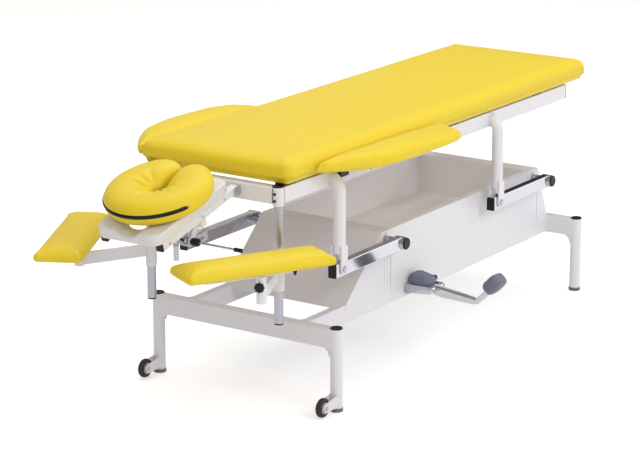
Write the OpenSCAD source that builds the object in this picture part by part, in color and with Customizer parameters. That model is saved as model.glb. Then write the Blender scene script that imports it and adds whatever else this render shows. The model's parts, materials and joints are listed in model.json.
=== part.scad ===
// Hydraulic treatment table: welded base with a storage tub, a four-arm parallel lift,
// a padded top with side wings, a tilting head section and two swinging armrests.
// Origin: on the floor, centred between the four legs. +X points to the foot end,
// +Y to the far side, +Z up. Lengths are in millimetres, angles in degrees.

/* [Base frame] */
// leg centre to leg centre, head end to foot end
leg_span_x = 1533; // [1300:1:1800]
// leg centre to leg centre, side to side
leg_span_y = 675; // [600:1:800]
// outer diameter of a leg tube
leg_d = 38; // [34:1:44]
// wall of the leg tubes
leg_wall = 2.5; // [2:0.5:4]
// height of the leg tube's top edge above the floor
leg_top_z = 262; // [240:1:300]
// height of a rubber foot
foot_h = 12; // [8:1:20]
// width of the rubber foot beyond the leg tube, on the radius
foot_flare = 1.5; // [1:0.5:4]
// height of the base beams and base rails
beam_h = 60; // [50:1:70]
// thickness of the two cross beams, along X
beam_w = 40; // [30:1:50]
// height of the underside of beams and rails above the floor
beam_z = 201; // [180:1:220]
// wall of the rectangular base tubes
beam_wall = 3.5; // [2:0.5:4]
// thickness of a base side rail, along Y
base_rail_w = 30; // [25:1:40]
// radius of the rounded haunch between leg and beam
haunch_r = 26; // [15:1:35]

/* [Transport wheels] */
// tyre diameter
wheel_d = 60; // [50:1:75]
// tyre width
wheel_w = 20; // [15:1:25]
// hub diameter
hub_d = 36; // [28:1:40]
// axle bolt diameter
axle_d = 8; // [6:0.5:10]
// distance from leg centre to axle, towards the head end
axle_reach = 76; // [70:1:90]
// thickness of a bracket cheek
cheek_t = 4; // [3:0.5:6]
// height of a bracket cheek where it meets the leg
cheek_h = 38; // [30:1:50]

/* [Storage tub] */
// width of the tub over its side panels
tub_w = 460; // [400:1:520]
// height of the tub's rim above the floor
tub_top_z = 450; // [430:1:455]
// height of the tub floor's upper face
tub_floor_z = 315; // [305:1:330]
// length of a cowl's flat top over a cross shaft
cowl_l = 60; // [50:1:80]
// sheet thickness
sheet_t = 2; // [1.5:0.5:3]
// width of the folded lip along each side
lip_w = 22; // [15:1:30]
// how far the side panels reach down over the base rails
panel_lap = 18; // [10:1:30]
// run of the front apron from rim to its foot
apron_run = 205; // [150:1:230]

/* [Lift] */
// pivot height above the floor
pivot_z = 418; // [400:1:425]
// distance from front to rear pivot
pivot_span = 960; // [800:1:1100]
// place of the front pivot along X
pivot_front_x = -316; // [-330:1:-300]
// swing arm length between pivots
arm_l = 350; // [300:1:400]
// swing arm height
arm_h = 44; // [36:1:50]
// swing arm thickness
arm_w = 28; // [20:1:32]
// swing arm wall
arm_wall = 2.5; // [2:0.5:4]
// inner face of a swing arm from the middle plane
arm_y = 267.5; // [260:0.5:280]
// cross shaft diameter
shaft_d = 30; // [24:1:34]
// diameter of an arm's round boss
boss_d = 42; // [38:1:48]
// diameter of the bolts between arms and frame legs
pivot_bolt_d = 12; // [10:1:14]
// length of arm beyond its pivot bolt
arm_nose = 37; // [30:1:40]
// length of the lift lever between cross shaft and roller
lever_r = 150; // [140:1:155]
// gap between the two plates of the lift lever
lever_t = 20; // [14:1:30]
// diameter of the roller that the ram pushes
roller_d = 30; // [24:1:32]
// lean of the lift lever at rest, in degrees
lever_lean = 4; // [0:0.5:8]

/* [Hydraulics] */
// ram barrel diameter
barrel_d = 56; // [50:1:60]
// ram rod diameter
rod_d = 28; // [20:1:32]
// length of the barrel
barrel_l = 270; // [250:1:300]
// oil tank length
tank_l = 120; // [80:1:140]

/* [Foot pedal] */
// place of the pedal along X
pedal_x = -165; // [-200:1:-100]
// height of the pedal's pivot
pedal_z = 236; // [225:1:250]
// distance of the pedal's pivot outside the tub panel
pedal_out = 92; // [80:1:120]
// diameter of the pedal lever tube
pedal_d = 20; // [16:1:24]

/* [Upper frame] */
// height of the upper frame's underside
deck_z = 674; // [660:1:690]
// height of the upper frame tubes
deck_h = 50; // [40:1:60]
// thickness of the upper frame tubes
deck_w = 40; // [30:1:45]
// wall of the upper frame tubes
deck_wall = 3; // [2:0.5:4]
// how far a corner tube's centre lies inside the pad's long edge
corner_in = 46; // [36:1:55]
// corner tube centre, towards the head end
corner_x = -928; // [-950:1:-900]
// foot end of the side rails
deck_end_x = 815; // [780:1:850]
// outer diameter of a corner tube
corner_d = 35; // [34:0.5:40]
// diameter of the bent frame legs
bent_d = 38; // [32:1:42]
// bend radius of the frame legs, on the centre line
bend_r = 45; // [40:1:60]
// thickness of a lug plate
lug_t = 5; // [4:0.5:8]
// width of a lug plate
lug_w = 34; // [28:1:38]

/* [Main pad] */
// pad length
pad_l = 1871; // [1800:1:1900]
// pad width
pad_w = 568; // [500:1:600]
// height of the pad's underside
pad_z = 745; // [740:1:760]
// pad thickness at the edge
pad_t = 56; // [40:1:80]
// extra height of the crown
pad_crown = 10; // [4:1:20]
// corner radius of the pad in plan
pad_r = 44; // [40:1:90]
// thickness of the board under the pad
board_t = 12; // [9:1:18]

/* [Side wings] */
// wing thickness
wing_t = 46; // [35:1:60]
// drop of the wing's top below the pad's edge
wing_drop = 10; // [5:1:25]
// widest reach of a wing from the middle plane
wing_y = 432; // [380:1:450]

/* [Head section] */
// hinge height
head_z = 702; // [695:1:710]
// hinge distance from the corner tube centre, towards the head end
head_reach = 38; // [34:1:50]
// downward slope of the head section, at rest
head_tilt = 15; // [0:1:30]
// length of the head rails from the hinge
head_l = 366; // [330:1:400]
// outer size of the square head rails
head_tube = 25; // [20:1:30]
// centre of a head rail from the middle plane
head_rail_y = 100; // [90:1:110]
// tray length
tray_l = 380; // [350:1:400]
// tray width
tray_w = 230; // [200:1:250]
// tray thickness
tray_t = 34; // [25:1:45]
// radius of the arc slot round the hinge
slot_r = 172; // [150:1:180]
// clamp rod diameter
clamp_d = 8; // [6:0.5:10]
// face pillow width over the rolls
pillow_w = 320; // [280:1:340]
// face pillow length
pillow_l = 335; // [280:1:350]
// face pillow thickness
pillow_t = 84; // [60:1:100]

/* [Armrests] */
// post diameter
post_d = 28; // [24:0.5:29]
// height of the post's lower end above the floor
post_z = 306; // [290:1:340]
// collar and link tube outer diameter
sleeve_d = 35; // [33:0.5:42]
// lower end of the height collar above the floor
collar_z = 408; // [400:1:430]
// height collar length
collar_h = 30; // [20:1:45]
// link length between post and socket
link_l = 235; // [200:1:260]
// link plate height
link_h = 38; // [30:1:50]
// link plate thickness
link_t = 8; // [6:1:12]
// socket tube outer diameter
socket_d = 30; // [26:1:36]
// pad pin diameter
pin_d = 20; // [16:1:24]
// socket tube length
socket_l = 72; // [60:1:90]
// armrest pad length
rest_l = 478; // [430:1:560]
// armrest pad width
rest_w = 148; // [120:1:170]
// armrest pad thickness
rest_t = 42; // [30:1:60]
// outward angle of the near link
near_link_a = 22.6; // [0:0.1:40]
// outward angle of the far link
far_link_a = 29.8; // [0:0.1:40]
// outward angle of the near armrest pad
near_rest_a = 28.6; // [0:0.1:40]
// outward angle of the far armrest pad
far_rest_a = 27; // [0:0.1:40]

/* [Hidden] */
$fn = 48;

// shared small sizes and clearances
over = 1;
seat_gap = 0.1;
run_gap = 0.06;
side_gap = 0.3;
cap_t = 4;
plug_l = 14;
tube_corner = 3.5;
white = "#f2f1ef";
chrome = "#c9ccd0";
black = "#26262a";
grey = "#b9bbbe";
yellow = "#eed53a";
rubber = "#3f4044";
slate = "#6c7183";

// base values that several pieces share
leg_x = leg_span_x / 2;
leg_y = leg_span_y / 2;
leg_r = leg_d / 2;
plug_r = leg_r - leg_wall - seat_gap;
beam_top = beam_z + beam_h;
beam_in_x = leg_x - beam_w / 2;
panel_y = tub_w / 2;
rail_out = panel_y - sheet_t;
rail_in = rail_out - base_rail_w;
haunch_w = 0.75 * beam_w;

// transport wheel values
wheel_lift = 2;
wheel_gap = 1.5;
cheek_nose = 14;
axle_x = leg_x + axle_reach;
axle_z = wheel_d / 2 + wheel_lift;
cheek_y = wheel_w / 2 + wheel_gap;
bolt_head_t = 5;
bolt_head_share = 1.7;

// tub values
pivot_rear_x = pivot_front_x + pivot_span;
front_x0 = pivot_front_x - cowl_l / 2;
front_x1 = pivot_front_x + cowl_l / 2;
rear_x0 = pivot_rear_x - cowl_l / 2;
rear_x1 = pivot_rear_x + cowl_l / 2;
apron_x = front_x0 - apron_run;
panel_low = beam_top - panel_lap;
inner_slope = 70;
lip_clear = inner_slope * sheet_t / (tub_top_z - tub_floor_z) + side_gap;
apron_drop = 12;
slot_w = 3;
slot_off = 24;
slot_top = 365;
slot_foot = 4;
seam_w = 1.2;
seam_deep = 0.7;
seam_off = 11;
bush_d = 38;
bush_flange_d = 46;
bush_flange_t = 3;
bush_in = 8;

// lift values
arm_out = arm_y + arm_w;
boss_step = 1.5;
boss_in = arm_y - boss_step;
boss_out_y = arm_out + 2 * cap_t;
bolt_r = pivot_bolt_d / 2;
lever_plate_t = 6;
roller_gap = 1.1;
lever_eye_r = 14;
lever_hub_r = 24;
ram_drop = 143;
ram_z = pivot_z - ram_drop;
roller_x = pivot_front_x + lever_r * sin(lever_lean);
roller_z = pivot_z - lever_r * cos(lever_lean);
shoe_x = roller_x + roller_d / 2 + roller_gap;
shoe_t = 10;
shoe_h = 52;
shoe_w = lever_t - 4;
ram_stroke_in = 80;
barrel_x = shoe_x + shoe_t + ram_stroke_in;
rod_in = 172;
member_w = 30;
member_in = 84;
member_front_x = barrel_x + member_in;
member_rear_x = barrel_x + barrel_l - member_w;
saddle_t = 8;
saddle_z = ram_z - barrel_d / 2 - saddle_t;
pump_w = 60;
pump_h = 92;
pump_y = 56;
tank_d = 56;
pipe_d = 8;

// pedal values
pedal_y = panel_y + pedal_out;
pedal_tip = 78;
pedal_tip_up = 12;
pedal_reach = 158;
pedal_sag = 14;
pedal_up_y = 52;
pedal_up_z = 50;
pedal_knee_share = 1.08;
pedal_pin_d = 10;
pedal_hub_d = 22;
pedal_cheek_t = 5;
pedal_cheek_low = 16;
pedal_ear_in = 30;
pedal_ear_out = 30;
pedal_ear_up = 42;
pedal_ear_rise = 22;
foot_pad_w = 66;
foot_pad_l = 62;
foot_pad_t = 30;
foot_pad_r = 14;
foot_pad_lean = 42;
pedal_side = 4;

// upper frame values
corner_y = pad_w / 2 - corner_in;
corner_r = corner_d / 2;
deck_top = deck_z + deck_h;
rail_y1 = corner_y + corner_r;
rail_y0 = rail_y1 - deck_w;
rail_mid_y = rail_y1 - deck_w / 2;
cope_x = corner_x + 0.6 * corner_r;
cope_y = corner_y - 0.6 * corner_r;
corner_drop = 6;
corner_low = deck_z - corner_drop;
post_in = 12;
post_top = deck_top - post_in;
bent_y = arm_y + arm_w / 2;
bent_drop = 19;
bent_z = deck_top - bent_drop;
bent_gap = 50;
bent_low = pivot_z + bent_gap;
lug_off = arm_w / 2 + side_gap;
lug_up = 74;
front_leg_x = pivot_front_x - arm_l;
rear_leg_x = pivot_rear_x - arm_l;
foot_beam_in = 60;
foot_beam_x = deck_end_x - foot_beam_in;
mid_x = [-330, 260];
mid_w = 30;
screw_d = 8;
screw_out = 4;
screw_up = [16, 37];
board_z = pad_z - board_t;
board_in = 22;
block_x = [-887, -400, 56, 615];
block_l = 64;
block_w = 30;
strap_off = [48, 426];
strap_pack = 6.8;
strap_w = 44;
strap_t = 7;
strap_drop = 55;
strap_reach = 92;

// cushion values
pad_y = pad_w / 2;
pad_head_x = -935;
pad_mid_x = pad_head_x + pad_l / 2;
pad_top = pad_z + pad_t;
wing_gap = 0.4;
wing_x0 = -815;
wing_run = 740;
wing_rise = wing_y - pad_y + 2;
wing_back = [0, -100];
wing_shares = [
    [0.02, 0], [0.004, 0.06], [0.075, 0.38], [0.17, 0.7], [0.277, 0.92], [0.49, 1.01], [0.79, 1.01],
    [0.865, 0.92], [0.905, 0.74], [0.953, 0.34], [0.992, 0.06], [0.985, 0]
];

// head section values
head_x = corner_x - head_reach;
half_tube = head_tube / 2;
head_rail_up = 3;
rail_low = head_rail_up - half_tube;
rail_top = head_rail_up + half_tube;
rail_nose = 8;
hinge_pin_d = 8;
hinge_cheek_t = 4;
hinge_cheek_r = 13;
cross_x = -170;
cross_w = 24;
cross_h = 20;
quad_y = 32;
quad_t = 5;
quad_w = 16;
quad_start_a = 4;
quad_end_a = 91;
slot_a = 62;
slot_up_a = 22;
slot_down_a = 43;
slot_play = 0.5;
bracket_t = 5;
bracket_r = 12;
bracket_in = 3;
bracket_w = 34;
clamp_a = slot_a + head_tilt;
clamp_x = head_x - slot_r * cos(clamp_a);
clamp_z = head_z - slot_r * sin(clamp_a);
nut_d = 17;
nut_t = 7;
knob_d = 25;
knob_l = 29;
grip_d = 14;
grip_l = 26;
rod_reach = 160;
stub_d = 16;
stub_l = 46;
stub_a = 42;
stub_r = slot_r + quad_w + stub_d / 2;
lug_share = 0.75;
tray_x = -20;
tray_r = 36;
tray_rim_r = 60;
hole_x = -235;
hole_w = 110;
hole_l = 200;
scoop_r = 70;
scoop_up = 52;
scoop_l = 46;
pillow_x = -208;
pillow_tube = 58;
pillow_open_a = 12;

// armrest values
post_r = post_d / 2;
sleeve_r = sleeve_d / 2;
collar_top = collar_z + collar_h;
link_tube_h = 40;
link_z = collar_top + side_gap;
socket_top = link_z + socket_l;
hub_h = 8;
hub_rim = 5;
plate_z = socket_top + side_gap + hub_h;
plate_t = 6;
plate_l = 300;
plate_w = 74;
plate_r = 20;
rest_z = plate_z + plate_t + seat_gap;
rest_r = 40;
rest_along = -34;
rest_aside = 30;
near_rest_at = [1, 51];
far_rest_at = [-44, 4];
pin_l = 64;
star_r = 15;
star_t = 13;
star_lobes = 8;
star_lobe_r = 4;
star_off = 6;
star_shank_d = 8;
star_drop = 18;
star_z = socket_top - star_drop;

module on_sides() {
    children();
    mirror([0, 1, 0]) children();
}

module at_legs() {
    for (sx = [-1, 1]) for (sy = [-1, 1]) translate([sx * leg_x, sy * leg_y, 0]) children();
}

// a block between two corners
module block(x0, x1, y0, y1, z0, z1) {
    translate([x0, y0, z0]) cube([x1 - x0, y1 - y0, z1 - z0]);
}

// a round bar along Y
module bar_along_y(x, z, y0, y1, d) {
    translate([x, y0, z]) rotate([-90, 0, 0]) cylinder(d = d, h = y1 - y0);
}

// a round bar along X
module bar_along_x(y, z, x0, x1, d) {
    translate([x0, y, z]) rotate([0, 90, 0]) cylinder(d = d, h = x1 - x0);
}

// a six-sided bolt head or nut along Y
module hex_y(x, z, y0, t, d) {
    translate([x, y0, z]) rotate([-90, 0, 0]) cylinder(d = d, h = t, $fn = 6);
}

// an outline drawn as X and Z, given a thickness along Y from y0
module plate_xz(y0, t) {
    translate([0, y0 + t, 0]) rotate([90, 0, 0]) linear_extrude(t) children();
}

// a rectangle with round corners, centred
module round_rect(l, w, r) {
    square([l - 2 * r, w], center = true);
    square([l, w - 2 * r], center = true);
    for (sx = [-1, 1]) for (sy = [-1, 1]) translate([sx * (l / 2 - r), sy * (w / 2 - r)]) circle(r);
}

// a bar of round-cornered section between two corners, along X (0) or Y (1)
module round_bar(lo, hi, r, axis) {
    size = hi - lo;
    translate((lo + hi) / 2) rotate(axis == 0 ? [90, 0, 90] : [90, 0, 0])
        translate([0, 0, -size[axis] / 2]) linear_extrude(size[axis])
            round_rect(axis == 0 ? size[1] : size[0], size[2], r);
}

// a box tube with drawn round corners between two corners, along X (0) or Y (1)
module box_tube(lo, hi, wall, axis) {
    grow = axis == 0 ? [over, -wall, -wall] : [-wall, over, -wall];
    difference() {
        round_bar(lo, hi, tube_corner, axis);
        round_bar(lo - grow, hi + grow, tube_corner - wall / 2, axis);
    }
}

// the solid plug that fills a box tube, less its wall and a seat gap
module tube_plug(lo, hi, wall, axis) {
    slack = wall + seat_gap;
    trim = axis == 0 ? [0, slack, slack] : [slack, 0, slack];
    round_bar(lo + trim, hi - trim, tube_corner - wall / 2, axis);
}

module base_legs() {
    color(white) at_legs() translate([0, 0, foot_h]) difference() {
        cylinder(d = leg_d, h = leg_top_z - foot_h);
        translate([0, 0, -over]) cylinder(r = leg_r - leg_wall, h = leg_top_z - foot_h + 2 * over);
    }
}

module rubber_feet() {
    foot_r = leg_r + foot_flare;
    color(rubber) at_legs() rotate_extrude() polygon([
        [0, 0], [foot_r - foot_flare, 0], [foot_r, foot_flare], [foot_r, foot_h],
        [plug_r, foot_h], [plug_r, foot_h + plug_l], [0, foot_h + plug_l]
    ]);
}

module leg_caps() {
    rim = leg_r - leg_wall;
    dish = cap_t / 2;
    top = leg_top_z + cap_t;
    color(rubber) at_legs() rotate_extrude() polygon([
        [0, leg_top_z - plug_l], [plug_r, leg_top_z - plug_l], [plug_r, leg_top_z],
        [leg_r, leg_top_z], [leg_r, top - dish / 2], [leg_r - dish / 2, top], [rim, top],
        [rim - dish, top - dish], [0, top - dish]
    ]);
}

module haunch(side) {
    run = leg_r + haunch_r;
    translate([0, side * leg_y, beam_z]) mirror([0, side > 0 ? 1 : 0, 0])
        translate([-haunch_w / 2, 0, 0]) rotate([90, 0, 90]) linear_extrude(haunch_w) difference() {
            translate([0, -haunch_r]) square([run, haunch_r]);
            translate([run, -haunch_r]) circle(haunch_r);
        }
}

module cross_beam(x) {
    color(white) translate([x, 0, 0]) difference() {
        union() {
            box_tube([-beam_w / 2, -leg_y, beam_z], [beam_w / 2, leg_y, beam_top], beam_wall, 1);
            haunch(-1);
            haunch(1);
        }
        for (side = [-1, 1]) translate([0, side * leg_y, 0])
            cylinder(r = leg_r + seat_gap, h = leg_top_z);
    }
}

module front_cross_beam() { cross_beam(-leg_x); }

module rear_cross_beam() { cross_beam(leg_x); }

module base_side_rails() {
    color(white) on_sides()
        box_tube([-beam_in_x, rail_in, beam_z], [beam_in_x, rail_out, beam_top], beam_wall, 0);
}

module wheel_cheek(y0) {
    low = axle_z - cheek_nose + wheel_lift;
    difference() {
        plate_xz(y0, cheek_t) difference() {
            union() {
                polygon([[-leg_x, low], [-leg_x, low + cheek_h],
                         [-axle_x, axle_z + cheek_nose], [-axle_x, axle_z - cheek_nose]]);
                translate([-axle_x, axle_z]) circle(cheek_nose);
            }
            translate([-axle_x, axle_z]) circle(axle_d / 2 + seat_gap);
        }
        translate([-leg_x, leg_y, 0]) cylinder(r = leg_r + seat_gap, h = leg_top_z);
    }
}

module wheel_brackets() {
    color(white) on_sides() {
        wheel_cheek(leg_y + cheek_y);
        wheel_cheek(leg_y - cheek_y - cheek_t);
    }
}

module wheel_axles() {
    reach = cheek_y + cheek_t;
    color(chrome) on_sides() {
        bar_along_y(-axle_x, axle_z, leg_y - reach, leg_y + reach, axle_d);
        hex_y(-axle_x, axle_z, leg_y + reach, bolt_head_t, axle_d * bolt_head_share);
        hex_y(-axle_x, axle_z, leg_y - reach - bolt_head_t, bolt_head_t, axle_d * bolt_head_share);
    }
}

module at_wheel(side) {
    translate([-axle_x, side * leg_y, axle_z]) rotate([90, 0, 0]) children();
}

module wheel_tyre(side) {
    tyre_r = wheel_d / 2;
    half = wheel_w / 2;
    round = 0.3 * wheel_w;
    color(rubber) at_wheel(side) rotate_extrude() polygon([
        [hub_d / 2, -half], [tyre_r - round, -half], [tyre_r - 0.3 * round, -0.7 * half],
        [tyre_r, -0.3 * half], [tyre_r, 0.3 * half], [tyre_r - 0.3 * round, 0.7 * half],
        [tyre_r - round, half], [hub_d / 2, half]
    ]);
}

module wheel_hub(side) {
    bore = axle_d / 2 + run_gap;
    half = wheel_w / 2;
    boss = bore + 2 * cap_t;
    rim = hub_d / 2 - seat_gap;
    web = 0.25 * wheel_w;
    color("#cfc7b4") at_wheel(side) rotate_extrude() polygon([
        [bore, -half], [boss, -half], [boss, -web], [rim - cap_t, -web], [rim - cap_t, -half],
        [rim, -half], [rim, half], [rim - cap_t, half], [rim - cap_t, web], [boss, web],
        [boss, half], [bore, half]
    ]);
}

module near_wheel_tyre() { wheel_tyre(-1); }

module near_wheel_hub() { wheel_hub(-1); }

module far_wheel_tyre() { wheel_tyre(1); }

module far_wheel_hub() { wheel_hub(1); }

module tub_side_panels() {
    color(white) on_sides() {
        difference() {
            plate_xz(rail_out, sheet_t) difference() {
                polygon([
                    [front_x0, tub_top_z], [rear_x1, tub_top_z], [beam_in_x, beam_top],
                    [beam_in_x, panel_low], [apron_x, panel_low], [apron_x, beam_top]
                ]);
                for (x = [pivot_front_x, pivot_rear_x]) {
                    translate([x, pivot_z]) circle(bush_d / 2 + seat_gap);
                    translate([x + slot_off, panel_low + slot_foot])
                        square([slot_w, slot_top - panel_low - slot_foot]);
                }
            }
            for (x = [pivot_front_x, pivot_rear_x]) translate([x - seam_off - seam_w, 0, 0])
                block(0, seam_w, panel_y - seam_deep, panel_y + over, panel_low - over,
                      pivot_z - bush_flange_d);
        }
        block(front_x1 + lip_clear, rear_x0 - side_gap, panel_y - lip_w, rail_out,
              tub_top_z - sheet_t, tub_top_z);
    }
}

module tub_floor() {
    color(white) block(front_x1 + inner_slope - sheet_t, rear_x0 + sheet_t, -rail_out, rail_out,
                       tub_floor_z - sheet_t, tub_floor_z);
}

// bent sheet over the front cross shaft: inner wall, flat top and sloping apron
module tub_front_cowl() {
    rise = tub_top_z - beam_top;
    lean = apron_run / rise;
    skin = sheet_t * sqrt(1 + lean * lean);
    inner = inner_slope / (tub_top_z - tub_floor_z);
    inner_skin = sheet_t * sqrt(1 + inner * inner);
    low = beam_top - apron_drop;
    color(white) {
        plate_xz(-rail_out, 2 * rail_out) polygon([
            [front_x1 + inner_slope, tub_floor_z], [front_x1, tub_top_z], [front_x0, tub_top_z],
            [apron_x, beam_top], [apron_x + skin, beam_top],
            [front_x0 - sheet_t * lean + skin, tub_top_z - sheet_t],
            [front_x1 - inner_skin + sheet_t * inner, tub_top_z - sheet_t],
            [front_x1 + inner_slope - inner_skin, tub_floor_z]
        ]);
        plate_xz(-rail_in + side_gap, 2 * (rail_in - side_gap)) polygon([
            [apron_x, beam_top], [apron_x + skin, beam_top],
            [apron_x + skin - apron_drop * lean, low], [apron_x - apron_drop * lean, low]
        ]);
    }
}

module tub_rear_cowl() {
    lean = (beam_in_x - rear_x1) / (tub_top_z - beam_top);
    skin = sheet_t * sqrt(1 + lean * lean);
    color(white) plate_xz(-rail_out, 2 * rail_out) polygon([
        [rear_x0, tub_floor_z], [rear_x0, tub_top_z], [rear_x1, tub_top_z],
        [beam_in_x, beam_top], [beam_in_x - skin, beam_top],
        [rear_x1 + sheet_t * lean - skin, tub_top_z - sheet_t],
        [rear_x0 + sheet_t, tub_top_z - sheet_t], [rear_x0 + sheet_t, tub_floor_z]
    ]);
}

module pivot_bushes() {
    color(chrome) on_sides() for (x = [pivot_front_x, pivot_rear_x]) difference() {
        union() {
            bar_along_y(x, pivot_z, rail_out - bush_in, panel_y, bush_d);
            bar_along_y(x, pivot_z, panel_y, panel_y + bush_flange_t, bush_flange_d);
        }
        bar_along_y(x, pivot_z, rail_out - bush_in - over, panel_y + bush_flange_t + over,
                    shaft_d + 2 * run_gap);
    }
}

// a chrome arm: rectangular tube with a round boss at its pivot and an open nose
module swing_arm(pivot_x, hole_gap) {
    nose = pivot_x - arm_l - arm_nose;
    difference() {
        union() {
            box_tube([nose, arm_y, pivot_z - arm_h / 2], [pivot_x - boss_d / 4, arm_out, pivot_z + arm_h / 2],
                     arm_wall, 0);
            bar_along_y(pivot_x, pivot_z, boss_in, boss_out_y, boss_d);
        }
        bar_along_y(pivot_x - arm_l, pivot_z, arm_y - over, arm_out + over,
                    pivot_bolt_d + 2 * hole_gap);
    }
}

module cross_shaft(pivot_x) {
    color(chrome) bar_along_y(pivot_x, pivot_z, -boss_in, boss_in, shaft_d);
}

// black cap on the boss and black plug in the nose of an arm
module arm_caps(pivot_x) {
    nose = pivot_x - arm_l - arm_nose;
    cap_r = boss_d / 2 - cap_t / 2;
    translate([pivot_x, boss_out_y, pivot_z]) rotate([-90, 0, 0]) rotate_extrude() polygon([
        [0, 0], [cap_r, 0], [cap_r, cap_t / 2], [cap_r - cap_t / 2, cap_t], [0, cap_t]
    ]);
    round_bar([nose - cap_t, arm_y, pivot_z - arm_h / 2], [nose, arm_out, pivot_z + arm_h / 2],
              tube_corner, 0);
    tube_plug([nose, arm_y, pivot_z - arm_h / 2], [nose + plug_l, arm_out, pivot_z + arm_h / 2],
              arm_wall, 0);
}

module front_swing_arms() { color(chrome) on_sides() swing_arm(pivot_front_x, run_gap); }

module front_cross_shaft() { cross_shaft(pivot_front_x); }

module front_arm_caps() { color(black) on_sides() arm_caps(pivot_front_x); }

module rear_swing_arms() { color(chrome) on_sides() swing_arm(pivot_rear_x, side_gap); }

module rear_cross_shaft() { cross_shaft(pivot_rear_x); }

module rear_arm_caps() { color(black) on_sides() arm_caps(pivot_rear_x); }

// two lever plates on the front cross shaft with a roller that the ram pushes
module lift_lever() {
    inner = lever_t / 2;
    color(grey) {
        for (y0 = [-inner - lever_plate_t, inner]) difference() {
            plate_xz(y0, lever_plate_t) {
                translate([pivot_front_x, pivot_z]) circle(lever_hub_r);
                translate([roller_x, roller_z]) circle(lever_eye_r);
                translate([pivot_front_x, pivot_z]) rotate(lever_lean) polygon([
                    [-lever_hub_r, 0], [lever_hub_r, 0],
                    [lever_eye_r, -lever_r], [-lever_eye_r, -lever_r]
                ]);
            }
            bar_along_y(pivot_front_x, pivot_z, y0 - over, y0 + lever_plate_t + over,
                        shaft_d + 2 * seat_gap);
        }
        bar_along_y(roller_x, roller_z, -inner, inner, roller_d);
    }
}

module ram_barrel() {
    bore = rod_d / 2 + run_gap;
    end = barrel_x + barrel_l;
    lid = 3 * cap_t;
    color(black) difference() {
        union() {
            bar_along_x(0, ram_z, barrel_x, end, barrel_d);
            bar_along_x(0, ram_z, end, end + lid, barrel_d - 2 * cap_t);
        }
        bar_along_x(0, ram_z, barrel_x - over, end - lid, 2 * bore);
    }
}

module ram_rod() {
    color(chrome) {
        bar_along_x(0, ram_z, shoe_x + shoe_t, barrel_x + rod_in, rod_d);
        block(shoe_x, shoe_x + shoe_t, -shoe_w / 2, shoe_w / 2, ram_z - shoe_h / 2, ram_z + shoe_h / 2);
    }
}

// two flat cross bars under the tub floor, each with a saddle for the barrel
module ram_cross_member() {
    reach = barrel_d / 2 + saddle_t;
    color(white) for (x = [member_front_x, member_rear_x]) difference() {
        union() {
            block(x - member_w / 2, x + member_w / 2, -rail_in, rail_in, beam_z, saddle_z);
            block(x - member_w / 2, x + member_w / 2, -reach, reach, saddle_z - over, ram_z);
        }
        bar_along_x(0, ram_z, x - member_w, x + member_w, barrel_d + 2 * seat_gap);
    }
}

module pump_block() {
    inner = rail_in - pump_y;
    back = pedal_x + pump_w / 2;
    tank_y = inner + tank_d / 2;
    tank_z = saddle_z + seat_gap + tank_d / 2;
    color(black) {
        block(pedal_x - pump_w / 2, back, -rail_in, -inner, beam_z, beam_z + pump_h);
        bar_along_x(-tank_y, tank_z, back, back + tank_l, tank_d);
        difference() {
            bar_along_y(pedal_x, ram_z, -inner, 0, pipe_d);
            bar_along_x(0, ram_z, pedal_x - pump_w, pedal_x + pump_w, barrel_d + 2 * seat_gap);
        }
    }
}

// the bent foot lever, with a clearance round it where a pad fits over it
module pedal_bar(gap) {
    tip_y = pedal_y - pedal_tip;
    bend_y = pedal_y + pedal_reach;
    bend_z = pedal_z - pedal_sag;
    fat = pedal_d + 2 * gap;
    run = sqrt(pow(pedal_tip + pedal_reach, 2) + pow(pedal_tip_up + pedal_sag, 2));
    rise = sqrt(pedal_up_y * pedal_up_y + pedal_up_z * pedal_up_z);
    translate([pedal_x, -bend_y, bend_z]) {
        sphere(d = fat * pedal_knee_share);
        rotate([-atan2(pedal_tip + pedal_reach, pedal_tip_up + pedal_sag), 0, 0]) cylinder(d = fat, h = run);
        rotate([atan2(pedal_up_y, pedal_up_z), 0, 0]) cylinder(d = fat, h = rise);
    }
}

module pedal_lever() {
    half = foot_pad_w / 2;
    color(white) difference() {
        union() {
            pedal_bar(0);
            bar_along_x(-pedal_y, pedal_z, pedal_x - half, pedal_x + half, pedal_hub_d);
        }
        bar_along_x(-pedal_y, pedal_z, pedal_x - half - over, pedal_x + half + over,
                    pedal_pin_d + 2 * run_gap);
    }
}

// one foot pad, centred on the lever, lying across it
module foot_pad() {
    rotate([0, 90, 0]) translate([0, 0, -foot_pad_w / 2]) linear_extrude(foot_pad_w)
        round_rect(foot_pad_t, foot_pad_l, foot_pad_r);
}

module pedal_pads() {
    color(slate) difference() {
        union() {
            translate([pedal_x, -pedal_y + pedal_tip - foot_pad_l / 2 + pedal_side, pedal_z + pedal_tip_up])
                foot_pad();
            translate([pedal_x, -pedal_y - pedal_reach - pedal_up_y, pedal_z - pedal_sag + pedal_up_z])
                rotate([foot_pad_lean, 0, 0]) foot_pad();
        }
        pedal_bar(seat_gap);
    }
}

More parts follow.
